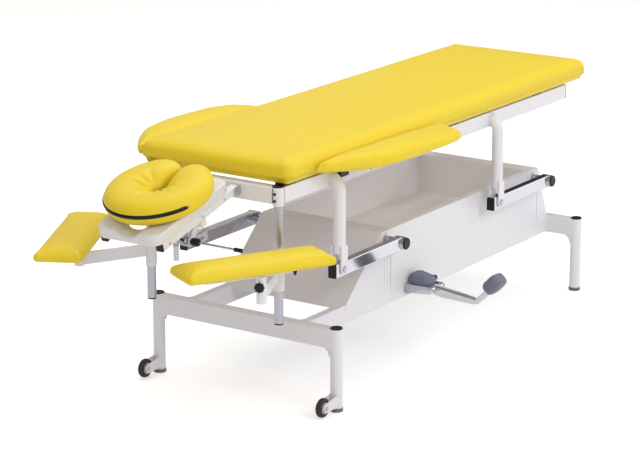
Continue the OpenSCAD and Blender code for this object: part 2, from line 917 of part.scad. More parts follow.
// two cheeks on the base rail that carry the pin of the foot lever
module pedal_bracket() {
    half = foot_pad_w / 2 + side_gap;
    pin_half = half + pedal_cheek_t;
    root = -rail_out - seat_gap;
    low = beam_z + sheet_t;
    root_top = panel_low - sheet_t;
    top = pedal_z + pedal_ear_up;
    color(black) {
        for (x = [pedal_x - pin_half, pedal_x + half]) difference() {
            translate([x, 0, 0]) rotate([90, 0, 90]) linear_extrude(pedal_cheek_t) polygon([
                [root, low], [root, root_top], [-pedal_y + pedal_ear_in, top],
                [-pedal_y - pedal_ear_out, top], [-pedal_y - pedal_ear_out, pedal_z + pedal_ear_rise],
                [-pedal_y - pedal_cheek_low, pedal_z - pedal_cheek_low], [-pedal_y, pedal_z - pedal_cheek_low]
            ]);
            bar_along_x(-pedal_y, pedal_z, x - over, x + pedal_cheek_t + over,
                        pedal_pin_d + 2 * seat_gap);
        }
        bar_along_x(-pedal_y, pedal_z, pedal_x - pin_half - cap_t, pedal_x + pin_half + cap_t,
                    pedal_pin_d);
        for (x = [pedal_x - pin_half - cap_t, pedal_x + pin_half]) translate([x, -pedal_y, pedal_z])
            rotate([0, 90, 0]) cylinder(d = pedal_pin_d * bolt_head_share, h = cap_t, $fn = 6);
    }
}

module corner_room() {
    translate([corner_x, corner_y, corner_low - over])
        cylinder(r = corner_r + seat_gap, h = deck_top - corner_low + 2 * over);
}

module upper_side_rails() {
    color(white) on_sides() difference() {
        box_tube([cope_x, rail_y0, deck_z], [deck_end_x, rail_y1, deck_top], deck_wall, 0);
        corner_room();
    }
}

module upper_cross_beams() {
    color(white) {
        difference() {
            box_tube([corner_x - deck_w / 2, -cope_y, deck_z], [corner_x + deck_w / 2, cope_y, deck_top],
                     deck_wall, 1);
            on_sides() {
                corner_room();
                block(cope_x - seat_gap, cope_x + deck_w, rail_y0 - seat_gap, rail_y1, deck_z - over,
                      deck_top + over);
            }
        }
        for (x = mid_x) box_tube([x - mid_w / 2, -rail_y0, deck_top - mid_w],
                                 [x + mid_w / 2, rail_y0, deck_top], deck_wall, 1);
        box_tube([foot_beam_x - deck_w / 2, -rail_y0, deck_z], [foot_beam_x + deck_w / 2, rail_y0, deck_top],
                 deck_wall, 1);
    }
}

module corner_tubes() {
    color(white) on_sides() difference() {
        translate([corner_x, corner_y, corner_low]) cylinder(r = corner_r, h = deck_top - corner_low);
        translate([corner_x, corner_y, corner_low - over])
            cylinder(d = post_d + 2 * seat_gap, h = deck_top - corner_low + 2 * over);
        for (up = screw_up) translate([corner_x, corner_y, corner_low + up]) rotate([0, -90, 0])
            cylinder(d = screw_d + 2 * seat_gap, h = corner_d);
    }
}

// black plugs, caps and set screws of the upper frame
module upper_frame_plugs() {
    color(black) on_sides() {
        round_bar([deck_end_x, rail_y0, deck_z], [deck_end_x + cap_t, rail_y1, deck_top], tube_corner, 0);
        tube_plug([deck_end_x - plug_l, rail_y0, deck_z], [deck_end_x, rail_y1, deck_top], deck_wall, 0);
        translate([corner_x, corner_y, deck_top]) cylinder(r = corner_r, h = cap_t);
        translate([corner_x, corner_y, post_z - cap_t]) cylinder(r = post_r, h = cap_t);
        for (up = screw_up) translate([corner_x - post_r - seat_gap, corner_y, corner_low + up])
            rotate([0, -90, 0]) cylinder(d = screw_d, h = corner_r - post_r + screw_out);
        for (x = block_x) block(x - block_l / 2, x + block_l / 2, rail_mid_y - block_w / 2,
                                rail_mid_y + block_w / 2, deck_top, board_z);
    }
}

// round tubes bent inwards to the side rails, with two lug plates each
module bent_frame_legs() {
    tube_r = bent_d / 2;
    turn_z = bent_z - bend_r;
    lug_top = pivot_z + lug_up;
    color(white) on_sides() for (x = [front_leg_x, rear_leg_x]) {
        difference() {
            union() {
                translate([x, bent_y, bent_low]) cylinder(r = tube_r, h = turn_z - bent_low);
                translate([x, bent_y - bend_r, turn_z]) rotate([90, 0, 90])
                    rotate_extrude(angle = 90) translate([bend_r, 0]) circle(tube_r);
                bar_along_y(x, bent_z, rail_y0, bent_y - bend_r, bent_d);
                for (side = [-1, 1]) plate_xz(bent_y + side * (lug_off + lug_t / 2) - lug_t / 2, lug_t) {
                    translate([x, pivot_z]) circle(lug_w / 2);
                    translate([x - lug_w / 2, pivot_z]) square([lug_w, lug_up]);
                }
            }
            block(x - bend_r, x + bend_r, 0, rail_y1 + seat_gap, deck_z - bend_r, deck_top + over);
            translate([x, bent_y, lug_top]) cylinder(r = tube_r - arm_wall, h = turn_z - lug_top);
            bar_along_y(x, pivot_z, bent_y - lug_w, bent_y + lug_w, pivot_bolt_d + 2 * seat_gap);
        }
    }
}

module arm_pivot_bolts() {
    reach = lug_off + lug_t;
    color(chrome) on_sides() for (x = [front_leg_x, rear_leg_x]) {
        bar_along_y(x, pivot_z, bent_y - reach, bent_y + reach, pivot_bolt_d);
        hex_y(x, pivot_z, bent_y + reach, bolt_head_t, pivot_bolt_d * bolt_head_share);
        hex_y(x, pivot_z, bent_y - reach - bolt_head_t, bolt_head_t, pivot_bolt_d * bolt_head_share);
    }
}

module armrest_posts() {
    color(chrome) on_sides() translate([corner_x, corner_y, post_z])
        cylinder(r = post_r, h = post_top - post_z);
}

// bent straps from the outer face of the side rails out under the wings
module wing_brackets() {
    y0 = rail_y1 + seat_gap;
    y1 = y0 + strap_pack;
    low = deck_top - strap_drop / 2;
    color(black) on_sides() for (x = strap_off) translate([front_leg_x + x - strap_w / 2, 0, 0])
        rotate([90, 0, 90]) linear_extrude(strap_w) polygon([
            [y0, low], [y0, deck_top], [y1, deck_top], [y1, pad_z - seat_gap],
            [pad_y + strap_reach, pad_z - seat_gap], [pad_y + strap_reach, pad_z - strap_t],
            [y1 + strap_t, pad_z - strap_t], [y1 + strap_t, low]
        ]);
}

module pad_board() {
    color("#c9b28a") translate([pad_mid_x, 0, board_z]) linear_extrude(board_t - seat_gap)
        round_rect(pad_l - 2 * board_in, pad_w - 2 * board_in, pad_r - board_in);
}

// points of a rectangle with round corners, drawn in by an inset, at height z
function ring_rect(l, w, r, inset, z, steps) = [
    for (q = [0:3]) for (k = [0:steps])
        let (a = q * 90 + k * 90 / steps, rr = max(r - inset, r / 8),
             sx = (q == 0 || q == 3) ? 1 : -1, sy = q < 2 ? 1 : -1)
        [sx * (l / 2 - inset - rr) + rr * cos(a), sy * (w / 2 - inset - rr) + rr * sin(a), z]
];

// one closed solid through a stack of rings of equal point count, lowest ring first
module skin(rings) {
    n = len(rings[0]);
    m = len(rings);
    pts = [for (r = rings) for (p = r) p];
    mid0 = mean_point(rings[0]);
    mid1 = mean_point(rings[m - 1]);
    all = concat(pts, [mid0, mid1]);
    sides = [for (j = [0:m - 2]) for (i = [0:n - 1]) let (k = (i + 1) % n)
        each [[j * n + i, (j + 1) * n + i, (j + 1) * n + k], [j * n + i, (j + 1) * n + k, j * n + k]]];
    bottom = [for (i = [0:n - 1]) [n * m, i, (i + 1) % n]];
    lid = [for (i = [0:n - 1]) [n * m + 1, (m - 1) * n + (i + 1) % n, (m - 1) * n + i]];
    polyhedron(points = all, faces = concat(sides, bottom, lid));
}

function sum_points(pts, i = 0) = i == len(pts) ? [0, 0, 0] : pts[i] + sum_points(pts, i + 1);

function mean_point(pts) = sum_points(pts) / len(pts);

// inset and height of each ring of a cushion, as shares of its edge size and thickness
edge_shares = [
    [0.25, 0], [0.12, 0.06], [0.03, 0.16], [0, 0.38], [0.06, 0.6], [0.24, 0.8], [0.44, 0.9], [0.7, 0.97]
];
edge_share = 0.55;
crown_shares = [[0.12, 0.05], [0.3, 0.4], [0.6, 0.8], [0.85, 0.97]];

module main_pad() {
    edge = pad_t * edge_share;
    half = pad_w / 2;
    color(yellow) translate([pad_mid_x, 0, pad_z]) skin(concat(
        [for (s = edge_shares) ring_rect(pad_l, pad_w, pad_r, s[0] * edge, s[1] * pad_t, 8)],
        [for (s = crown_shares) ring_rect(pad_l, pad_w, pad_r, s[0] * half, pad_t + s[1] * pad_crown, 8)]
    ));
}

// one round of corner cutting on a closed outline
function soften(p) = [for (i = [0:len(p) - 1]) let (q = p[(i + 1) % len(p)])
    each [0.75 * p[i] + 0.25 * q, 0.25 * p[i] + 0.75 * q]];

function wing_ring(share, z) =
    let (base = [for (s = wing_shares) [s[0] * wing_run, s[1] * wing_rise]],
         smooth = soften(soften(base)), mid = [wing_run * 0.5, wing_rise * 0.45])
    [for (p = smooth) [mid[0] + (p[0] - mid[0]) * (1 - share * 0.5),
                       max(0, mid[1] + (p[1] - mid[1]) * (1 - share)), z]];

wing_edge_shares = [
    [0.1, 0], [0.03, 0.08], [0, 0.3], [0.012, 0.5], [0, 0.7], [0.03, 0.87], [0.1, 0.96], [0.24, 0.99], [0.6, 1]
];

module side_wings() {
    color(yellow) for (side = [0, 1]) mirror([0, 1 - side, 0])
        translate([wing_x0 + wing_back[side], pad_y + wing_gap, pad_z])
            skin([for (s = wing_edge_shares) wing_ring(s[0], s[1] * wing_t)]);
}

// the head section is drawn flat with its hinge at zero, then tilted into place
module in_head() {
    translate([head_x, 0, head_z]) rotate([0, -head_tilt, 0]) children();
}

module head_hinge_cheeks() {
    face = corner_x - deck_w / 2;
    y0 = head_rail_y + half_tube + side_gap;
    y1 = y0 + hinge_cheek_t;
    pin_in = head_rail_y - half_tube - nut_t;
    color(chrome) on_sides() {
        plate_xz(y0, hinge_cheek_t) {
            translate([head_x, head_z]) circle(hinge_cheek_r);
            translate([head_x, head_z - hinge_cheek_r])
                square([face - head_x, 2 * hinge_cheek_r]);
        }
        bar_along_y(head_x, head_z, pin_in, y0, hinge_pin_d);
        hex_y(head_x, head_z, y1, bolt_head_t, hinge_pin_d * bolt_head_share);
        hex_y(head_x, head_z, pin_in, bolt_head_t, hinge_pin_d * bolt_head_share);
    }
}

// two plates under the front beam, one each side of the quadrant
module head_clamp_bracket() {
    beam_x0 = corner_x - deck_w / 2 + bracket_in;
    color(white) for (y0 = [quad_y - quad_t / 2 - side_gap - bracket_t, quad_y + quad_t / 2 + side_gap])
        difference() {
            plate_xz(y0, bracket_t) {
                translate([clamp_x, clamp_z]) circle(bracket_r);
                polygon([
                    [beam_x0, deck_z], [beam_x0 + bracket_w, deck_z], [clamp_x + bracket_r, clamp_z],
                    [clamp_x, clamp_z - bracket_r], [clamp_x - bracket_r, clamp_z],
                    [beam_x0, deck_z - bracket_w]
                ]);
            }
            bar_along_y(clamp_x, clamp_z, y0 - over, y0 + bracket_t + over, clamp_d + 2 * run_gap);
        }
}

module head_rails() {
    color(white) in_head() {
        on_sides() difference() {
            union() {
                box_tube([-head_l, head_rail_y - half_tube, rail_low],
                         [rail_nose, head_rail_y + half_tube, rail_top], deck_wall, 0);
                round_bar([-hinge_pin_d, head_rail_y - half_tube, rail_low],
                          [rail_nose, head_rail_y + half_tube, rail_top], tube_corner, 0);
            }
            bar_along_y(0, 0, head_rail_y - head_tube, head_rail_y + head_tube,
                        hinge_pin_d + 2 * run_gap);
        }
        block(cross_x - cross_w / 2, cross_x + cross_w / 2, -head_rail_y - half_tube,
              head_rail_y + half_tube, rail_low - cross_h, rail_low);
    }
}

// black end plugs of the head rails
module rail_plugs() {
    y0 = head_rail_y - half_tube;
    y1 = head_rail_y + half_tube;
    color(black) on_sides() {
        round_bar([-head_l - cap_t, y0, rail_low], [-head_l, y1, rail_top], tube_corner, 0);
        tube_plug([-head_l, y0, rail_low], [-head_l + plug_l, y1, rail_top], deck_wall, 0);
    }
}

module head_rail_plugs() { in_head() rail_plugs(); }

// a ring sector between two angles that are measured down from the head end
module sector(r0, r1, a0, a1) {
    far = 2 * r1;
    mid_a = (a0 + a1) / 2;
    intersection() {
        difference() {
            circle(r1, $fn = 120);
            circle(r0, $fn = 120);
        }
        polygon([
            [0, 0], [-far * cos(a0), -far * sin(a0)], [-far * cos(mid_a), -far * sin(mid_a)],
            [-far * cos(a1), -far * sin(a1)]
        ]);
    }
}

// the slotted quadrant under the head section, with the handle stub on its rim
module head_quadrant() {
    slot_half = clamp_d / 2 + slot_play;
    a0 = slot_a - slot_down_a;
    a1 = slot_a + slot_up_a;
    color(grey) in_head() {
        difference() {
            plate_xz(quad_y - quad_t / 2, quad_t) difference() {
                union() {
                    sector(slot_r - quad_w, slot_r + quad_w, quad_start_a, quad_end_a);
                    translate([cross_x - cross_w / 2, rail_low - cross_h - quad_w])
                        square([cross_w, quad_w]);
                    translate([-stub_r * cos(stub_a), -stub_r * sin(stub_a)]) circle(stub_d * lug_share);
                }
                sector(slot_r - slot_half, slot_r + slot_half, a0, a1);
                for (a = [a0, a1]) translate([-slot_r * cos(a), -slot_r * sin(a)]) circle(slot_half);
                translate([-slot_r - 2 * quad_w, rail_low - cross_h])
                    square([slot_r, slot_r]);
            }
        }
        translate([-stub_r * cos(stub_a), quad_y, -stub_r * sin(stub_a)])
            rotate([0, head_tilt, 0]) mirror([0, 0, 1]) cylinder(d = stub_d, h = stub_l);
    }
}

module tray_outline(inset) {
    round_rect(tray_l - 2 * inset, tray_w - 2 * inset, tray_r - inset);
}

// moulded tray with a face hole and a dipped lip at the head end
module head_tray() {
    low = rail_top + seat_gap;
    rim = tray_t / 4;
    color(white) in_head() difference() {
        translate([tray_x - tray_l / 2, 0, low]) {
            linear_extrude(rim) tray_outline(rim / 2);
            translate([0, 0, rim]) linear_extrude(tray_t - 2 * rim) tray_outline(0);
            translate([0, 0, tray_t - rim]) linear_extrude(rim) tray_outline(rim / 2);
        }
        translate([hole_x, 0, low - over]) linear_extrude(tray_t + 2 * over)
            round_rect(hole_l, hole_w, hole_w / 2.5);
        bar_along_x(0, low + tray_t + scoop_up, tray_x - tray_l - over, tray_x - tray_l + scoop_l,
                    2 * scoop_r);
    }
}

// one cross ring of the face pillow at angle a round its horseshoe path
function pillow_ring(a, grow, steps) =
    let (ax = pillow_l / 2 - pillow_tube, ay = pillow_w / 2 - pillow_tube,
         cx = -ax * cos(a), cy = ay * sin(a), w = pillow_tube * grow, h = pillow_t / 2)
    [for (k = [0:steps - 1]) let (
        t = k * 360 / steps, ct = cos(t), st = sin(t),
        out = w * sign(ct) * pow(abs(ct), 0.8), up = h * (0.25 + 0.75 * grow) * sign(st) * pow(abs(st), 0.75))
        [cx - out * cos(a), cy + out * sin(a), h + up * (st < 0 ? 1 : 1)]];

module face_pillow() {
    end_a = 180 - pillow_open_a;
    grow_shares = [0.3, 0.62, 0.82, 0.94];
    low = rail_top + tray_t + 2 * seat_gap;
    stations = concat(
        [for (i = [0:3]) [-end_a + i * 5, grow_shares[i]]],
        [for (i = [0:24]) [-end_a + 20 + i * (2 * end_a - 40) / 24, 1]],
        [for (i = [0:3]) [end_a - 15 + i * 5, grow_shares[3 - i]]]
    );
    color(yellow) in_head() translate([pillow_x, 0, low])
        skin([for (s = stations) pillow_ring(s[0], s[1], 16)]);
}

// rod with a round knob near the quadrant and a grip at its near end
module head_clamp_rod() {
    knob_y = quad_y - quad_t / 2 - side_gap - bracket_t - seat_gap;
    nut_y = quad_y + quad_t / 2 + side_gap + bracket_t + seat_gap;
    color(chrome) bar_along_y(clamp_x, clamp_z, -rod_reach + grip_l, nut_y + nut_t, clamp_d);
    color(black) {
        bar_along_y(clamp_x, clamp_z, knob_y - knob_l, knob_y, knob_d);
        bar_along_y(clamp_x, clamp_z, -rod_reach, -rod_reach + grip_l, grip_d);
        hex_y(clamp_x, clamp_z, nut_y, nut_t, nut_d);
    }
}

// moves a link drawn along +X from its post to its own side of the table
module at_link(side, a) {
    translate([corner_x, side * corner_y, 0]) rotate([0, 0, 180 - side * a]) children();
}

// moves an armrest drawn round its socket to its own side
module at_rest(side, a, link_a) {
    translate([corner_x - link_l * cos(link_a), side * (corner_y + link_l * sin(link_a)), 0])
        rotate([0, 0, side * a]) children();
}

// height collar with its set screw, clamped on the post
module height_collar(side) {
    color(white) translate([corner_x, side * corner_y, 0]) difference() {
        translate([0, 0, collar_z]) cylinder(r = sleeve_r, h = collar_h);
        translate([0, 0, collar_z - over]) cylinder(r = post_r + run_gap, h = collar_h + 2 * over);
    }
    color(black) translate([corner_x, side * corner_y, collar_z + collar_h / 2])
        rotate([0, -90, 0]) translate([0, 0, sleeve_r - seat_gap]) cylinder(d = screw_d, h = screw_out);
}

// link: a tube round the post, a flat plate and a socket tube
module swing_link(side, a) {
    socket_r = socket_d / 2;
    plate_up = (link_tube_h - link_h) / 2;
    color(white) at_link(side, a) difference() {
        union() {
            translate([0, 0, link_z]) cylinder(r = sleeve_r, h = link_tube_h);
            translate([0, 0, link_z + plate_up]) block(0, link_l, -link_t / 2, link_t / 2, 0, link_h);
            translate([link_l, 0, link_z]) cylinder(r = socket_r, h = socket_l);
        }
        translate([0, 0, link_z - over]) cylinder(r = post_r + run_gap, h = link_tube_h + 2 * over);
        translate([link_l, 0, link_z - over]) cylinder(d = pin_d + 2 * run_gap, h = socket_l + 2 * over);
        translate([link_l, 0, star_z]) rotate([0, 90, 0]) cylinder(d = star_shank_d + 2 * run_gap, h = socket_d);
    }
}

// black star knob whose shank presses on the pad pin
module star_knob(side, a) {
    root = pin_d / 2 + seat_gap + run_gap;
    face = socket_d / 2 + star_off;
    color(black) at_link(side, a) translate([link_l, 0, star_z]) rotate([0, 90, 0]) {
        translate([0, 0, root]) cylinder(d = star_shank_d, h = face - root);
        translate([0, 0, face]) linear_extrude(star_t) {
            circle(star_r - star_lobe_r / 2);
            for (i = [0:star_lobes - 1]) rotate(i * 360 / star_lobes) translate([star_r - star_lobe_r, 0])
                circle(star_lobe_r);
        }
    }
}

// steel plate under an armrest pad, with the pin that turns in the socket
module rest_plate(side, a, link_a) {
    color(white) at_rest(side, a, link_a) {
        translate([rest_along, rest_aside, plate_z]) linear_extrude(plate_t)
            round_rect(plate_l, plate_w, plate_r);
        translate([0, 0, plate_z - hub_h]) cylinder(r = pin_d / 2 + hub_rim, h = hub_h);
        translate([0, 0, plate_z - hub_h - pin_l]) cylinder(d = pin_d, h = pin_l);
    }
}

module armrest_pad(side, a, link_a, at) {
    edge = rest_t * edge_share / 2;
    color(yellow) at_rest(side, a, link_a) translate([at[0], at[1], rest_z]) skin(concat(
        [for (s = edge_shares) ring_rect(rest_l, rest_w, rest_r, s[0] * edge, s[1] * rest_t, 6)],
        [for (s = [[0.25, 1.02], [0.6, 1.06]]) ring_rect(rest_l, rest_w, rest_r, s[0] * rest_w / 2,
                                                        s[1] * rest_t, 6)]
    ));
}

module near_height_collar() { height_collar(-1); }

module near_swing_link() { swing_link(-1, near_link_a); }

module near_star_knob() { star_knob(-1, near_link_a); }

module near_rest_plate() { rest_plate(-1, near_rest_a, near_link_a); }

module near_armrest_pad() { armrest_pad(-1, near_rest_a, near_link_a, near_rest_at); }

module far_height_collar() { height_collar(1); }

module far_swing_link() { swing_link(1, far_link_a); }

module far_star_knob() { star_knob(1, far_link_a); }

module far_rest_plate() { rest_plate(1, far_rest_a, far_link_a); }

module far_armrest_pad() { armrest_pad(1, far_rest_a, far_link_a, far_rest_at); }

base_legs();
rubber_feet();
leg_caps();
front_cross_beam();
rear_cross_beam();
base_side_rails();
wheel_brackets();
wheel_axles();
near_wheel_tyre();
near_wheel_hub();
far_wheel_tyre();
far_wheel_hub();
tub_side_panels();
tub_floor();
tub_front_cowl();
tub_rear_cowl();
pivot_bushes();
front_swing_arms();
front_cross_shaft();
front_arm_caps();
rear_swing_arms();
rear_cross_shaft();
rear_arm_caps();
ram_barrel();
ram_cross_member();
pump_block();
ram_rod();
pedal_bracket();
pedal_lever();
pedal_pads();
upper_side_rails();
upper_cross_beams();
corner_tubes();
upper_frame_plugs();
bent_frame_legs();
arm_pivot_bolts();
armrest_posts();
wing_brackets();
pad_board();
main_pad();
side_wings();
head_hinge_cheeks();
head_clamp_bracket();
head_rails();
head_rail_plugs();
head_quadrant();
head_tray();
lift_lever();
face_pillow();
head_clamp_rod();
near_height_collar();
near_swing_link();
near_star_knob();
near_rest_plate();
near_armrest_pad();
far_height_collar();
far_swing_link();
far_star_knob();
far_rest_plate();
far_armrest_pad();
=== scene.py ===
# %% [markdown]
# # A hydraulic treatment table, dressed for its photograph
# The frame of the table comes from the construction model: tubes, tub, arms and joints are there
# already and stay where they are. This lesson adds what foam, vinyl, moulded plastic and paint do.
# We load the frame first; the boxes of its parts give sizes and places to the new pieces.

import json
import math

import bpy
import numpy as np
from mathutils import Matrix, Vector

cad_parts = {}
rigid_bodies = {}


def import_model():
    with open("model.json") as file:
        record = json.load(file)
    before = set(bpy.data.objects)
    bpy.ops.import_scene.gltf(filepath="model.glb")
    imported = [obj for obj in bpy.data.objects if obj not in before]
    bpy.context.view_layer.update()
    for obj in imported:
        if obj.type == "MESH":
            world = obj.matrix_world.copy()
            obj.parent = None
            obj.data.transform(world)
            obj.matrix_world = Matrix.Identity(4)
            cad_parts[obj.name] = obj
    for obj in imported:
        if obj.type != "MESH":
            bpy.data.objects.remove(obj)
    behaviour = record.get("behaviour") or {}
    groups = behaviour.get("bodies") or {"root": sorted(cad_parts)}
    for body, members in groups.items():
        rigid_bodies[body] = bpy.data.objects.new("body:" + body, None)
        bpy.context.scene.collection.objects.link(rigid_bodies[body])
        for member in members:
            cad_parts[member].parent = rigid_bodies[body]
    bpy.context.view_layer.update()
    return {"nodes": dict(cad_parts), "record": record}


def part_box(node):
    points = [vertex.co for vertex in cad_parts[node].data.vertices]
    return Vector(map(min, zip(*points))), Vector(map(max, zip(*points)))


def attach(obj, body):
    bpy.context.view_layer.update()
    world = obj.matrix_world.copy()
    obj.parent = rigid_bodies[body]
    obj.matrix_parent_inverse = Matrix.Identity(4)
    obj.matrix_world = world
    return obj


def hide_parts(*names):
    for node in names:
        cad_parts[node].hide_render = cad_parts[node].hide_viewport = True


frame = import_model()
scene = bpy.context.scene
PI = math.pi
SIDES = {"near": -1, "far": 1}  # the sign of Y on each side of the table

# %% [markdown]
# ## Camera
# The photograph fixes the camera: the legs, beams and pad edges give its place, its heading and a
# long lens. A point in front of it is described by a right, an up and a backward direction, which
# are the columns of the camera's rotation matrix.

# %% Camera
from mathutils import Matrix, Vector

CAMERA_PLACE = Vector((-6.62306, -4.19725, 2.50866))
PITCH = math.radians(15.324679)
YAW = math.radians(33.794517)
LENS, SENSOR = 137.176, 36.0  # millimetres

level = math.cos(PITCH)
forward = Vector((level * math.cos(YAW), level * math.sin(YAW), -math.sin(PITCH)))
right = Vector((math.sin(YAW), -math.cos(YAW), 0.0))
up = right.cross(forward)
camera_data = bpy.data.cameras.new("photo_camera")
camera_data.sensor_width, camera_data.lens = SENSOR, LENS
camera_data.clip_end = 60.0
camera = bpy.data.objects.new("photo_camera", camera_data)
turn = Matrix((right, up, -forward)).transposed().to_4x4()
camera.matrix_world = Matrix.Translation(CAMERA_PLACE) @ turn
scene.collection.objects.link(camera)
scene.camera = camera
print("camera looks along", tuple(round(v, 3) for v in forward))

# %% [markdown]
# ## Small helpers
# A few short functions carry the rest of the lesson. Some build shader nodes with their inputs
# already fed; others turn numpy arrays of points into meshes and back.

# %% Node helpers
def feed(tree, socket, value):
    """Sets a socket to a constant, or links another socket into it."""
    if isinstance(value, bpy.types.NodeSocket):
        tree.links.new(value, socket)
    else:
        socket.default_value = value


def add_node(tree, kind, inputs=None, **settings):
    """A shader node with its settings; inputs maps a socket's name or number to what feeds it."""
    node = tree.nodes.new("ShaderNode" + kind)
    for label, value in settings.items():
        setattr(node, label, value)
    for label, value in (inputs or {}).items():
        feed(tree, node.inputs[label], value)
    return node


def math_node(tree, kind, a, b=None):
    """A Math node; a and b are sockets or numbers."""
    return add_node(tree, "Math", {0: a} if b is None else {0: a, 1: b}, operation=kind).outputs[0]


def noise(tree, where, scale, detail=2.0):
    """The grey value of a noise texture."""
    inputs = {"Vector": where, "Scale": scale, "Detail": detail}
    return add_node(tree, "TexNoise", inputs).outputs["Fac"]


# %% Point helpers
def read_points(mesh):
    """All vertex places of a mesh as one array."""
    flat = np.empty(len(mesh.vertices) * 3)
    mesh.vertices.foreach_get("co", flat)
    return flat.reshape(-1, 3)


def write_points(mesh, points):
    """Puts an array of places back into a mesh."""
    mesh.vertices.foreach_set("co", np.asarray(points, dtype=float).ravel())
    mesh.update()


def new_object(name, verts, faces, smooth=True):
    """A mesh object made of an array of points and a list of faces, put into the scene."""
    mesh = bpy.data.meshes.new(name)
    mesh.from_pydata(verts.tolist(), [], faces)
    mesh.polygons.foreach_set("use_smooth", np.full(len(mesh.polygons), smooth))
    mesh.update()
    obj = bpy.data.objects.new(name, mesh)
    scene.collection.objects.link(obj)
    return obj


def unit_rows(rows):
    """Each row divided by its own length."""
    return rows / np.linalg.norm(rows, axis=1, keepdims=True)


def signed_power(wave, exponent):
    """sign(w) |w|^exponent: squares off a sine or cosine without changing its sign."""
    return np.sign(wave) * np.abs(wave) ** exponent


def flat_ring(outline, height):
    """Plan points (x, y) lifted to one height."""
    return np.c_[outline, np.full(len(outline), height)]


# %% [markdown]
# ## Room and light
# The table stands in a plain white studio. The floor is real and takes a shadow; a little added
# glow that only the camera and reflections see keeps it white without more light on the table.
# Four large soft lamps do the modelling: bright ones on the near side and above, a weaker one at
# the foot end and a weak one at the head end. The lamps are slightly cool and the room slightly
# warm, so shadows turn warm.

# %% Floor and backdrop
FLOOR_TONE, FLOOR_GLOW = 0.82, 0.47
ROOM_TINT, ROOM_STRENGTH = (1.0, 0.95, 0.905, 1), 0.58


def white_room_material(name, tone, glow):
    """Diffuse surface plus an emission that only camera, glossy and transmission rays meet."""
    mat = bpy.data.materials.new(name)
    mat.use_nodes = True
    tree = mat.node_tree
    tree.nodes.clear()
    ray = add_node(tree, "LightPath").outputs
    seen = math_node(tree, "MAXIMUM", ray["Is Camera Ray"], ray["Is Glossy Ray"])
    seen = math_node(tree, "MAXIMUM", seen, ray["Is Transmission Ray"])
    diffuse = add_node(tree, "BsdfDiffuse", {"Color": (tone, tone, tone, 1)})
    lamp = add_node(tree, "Emission", {"Strength": math_node(tree, "MULTIPLY", seen, glow)})
    both = add_node(tree, "AddShader", {0: diffuse.outputs[0], 1: lamp.outputs[0]})
    add_node(tree, "OutputMaterial", {"Surface": both.outputs[0]})
    return mat


def grid_object(name, xs, ys, height):
    """A flat sheet: every pair of xs and ys at one height."""
    gx, gy = np.meshgrid(xs, ys, indexing="ij")
    n, m = len(xs), len(ys)
    i, j = np.meshgrid(np.arange(n - 1), np.arange(m - 1), indexing="ij")
    a = (i * m + j).ravel()
    faces = np.stack([a, a + m, a + m + 1, a + 1], axis=-1).tolist()
    return new_object(name, flat_ring(np.c_[gx.ravel(), gy.ravel()], height), faces, smooth=False)


floor = grid_object("studio_floor", np.linspace(-14, 14, 9), np.linspace(-14, 14, 9), 0.0)
floor.data.materials.append(white_room_material("studio_white", FLOOR_TONE, FLOOR_GLOW))

world = bpy.data.worlds.new("studio_world")
scene.world = world
world.use_nodes = True
air = world.node_tree
air.nodes.clear()
sky = add_node(air, "Background", {"Color": ROOM_TINT, "Strength": ROOM_STRENGTH})
white = add_node(air, "Background", {"Strength": 1.0})
ray = add_node(air, "LightPath")
choose = add_node(air, "MixShader", {0: ray.outputs["Is Camera Ray"], 1: sky.outputs[0], 2: white.outputs[0]})
add_node(air, "OutputWorld", {"Surface": choose.outputs[0]})
scene.view_settings.view_transform = "Standard"
print("floor and room ready")


# %% Lamps
def soft_lamp(name, place, target, size, watts, tint):
    """A square area lamp at place that points at target."""
    data = bpy.data.lights.new(name, "AREA")
    data.shape = "SQUARE"
    data.size = size
    data.energy = watts
    data.color = tint
    lamp = bpy.data.objects.new(name, data)
    direction = Vector(target) - Vector(place)
    lamp.rotation_euler = direction.to_track_quat("-Z", "Y").to_euler()
    lamp.location = place
    scene.collection.objects.link(lamp)


soft_lamp("near_lamp", (-1.4, -4.8, 3.4), (0, 0, 0.5), 2.6, 84, (0.95, 0.975, 1))
soft_lamp("top_lamp", (0.8, 0.4, 4.6), (0.1, 0, 0.6), 3.4, 88, (0.96, 0.98, 1))
soft_lamp("foot_lamp", (4.0, -2.8, 1.9), (0.3, 0.1, 0.45), 2.2, 30, (0.97, 0.98, 1))
soft_lamp("head_lamp", (-4.6, -1.2, 3.0), (-0.2, 0, 0.5), 2.4, 17, (0.98, 0.98, 1))


# %% Dark cards for the chrome
CARD_DISTANCE, CARD_LOW, CARD_HIGH = 6.0, 0.05, 3.4


def dark_card(name, bearing, width):
    """An upright dark sheet that faces the table from a compass bearing. Only reflections meet it,
    so it draws the dark stripes on chrome and leaves the light alone."""
    card = grid_object(name, np.linspace(-width / 2, width / 2, 2), np.linspace(CARD_LOW, CARD_HIGH, 2), 0.0)
    across, tall = read_points(card.data)[:, :2].T
    c, s = math.cos(math.radians(bearing)), math.sin(math.radians(bearing))
    write_points(card.data, np.c_[CARD_DISTANCE * c - across * s, CARD_DISTANCE * s + across * c, tall])
    mat = bpy.data.materials.new(name + "_cloth")
    mat.use_nodes = True
    shader = mat.node_tree.nodes["Principled BSDF"]
    shader.inputs["Base Color"].default_value = (0.05, 0.048, 0.046, 1)
    shader.inputs["Roughness"].default_value = 0.9
    card.data.materials.append(mat)
    card.visible_camera = card.visible_diffuse = card.visible_transmission = card.visible_shadow = False


for i, (bearing, width) in enumerate(((150, 3.4), (226, 0.8), (262, 1.0), (20, 2.6), (310, 1.8))):
    dark_card(f"dark_card_{i}", bearing, width)
print("dark cards:", i + 1)

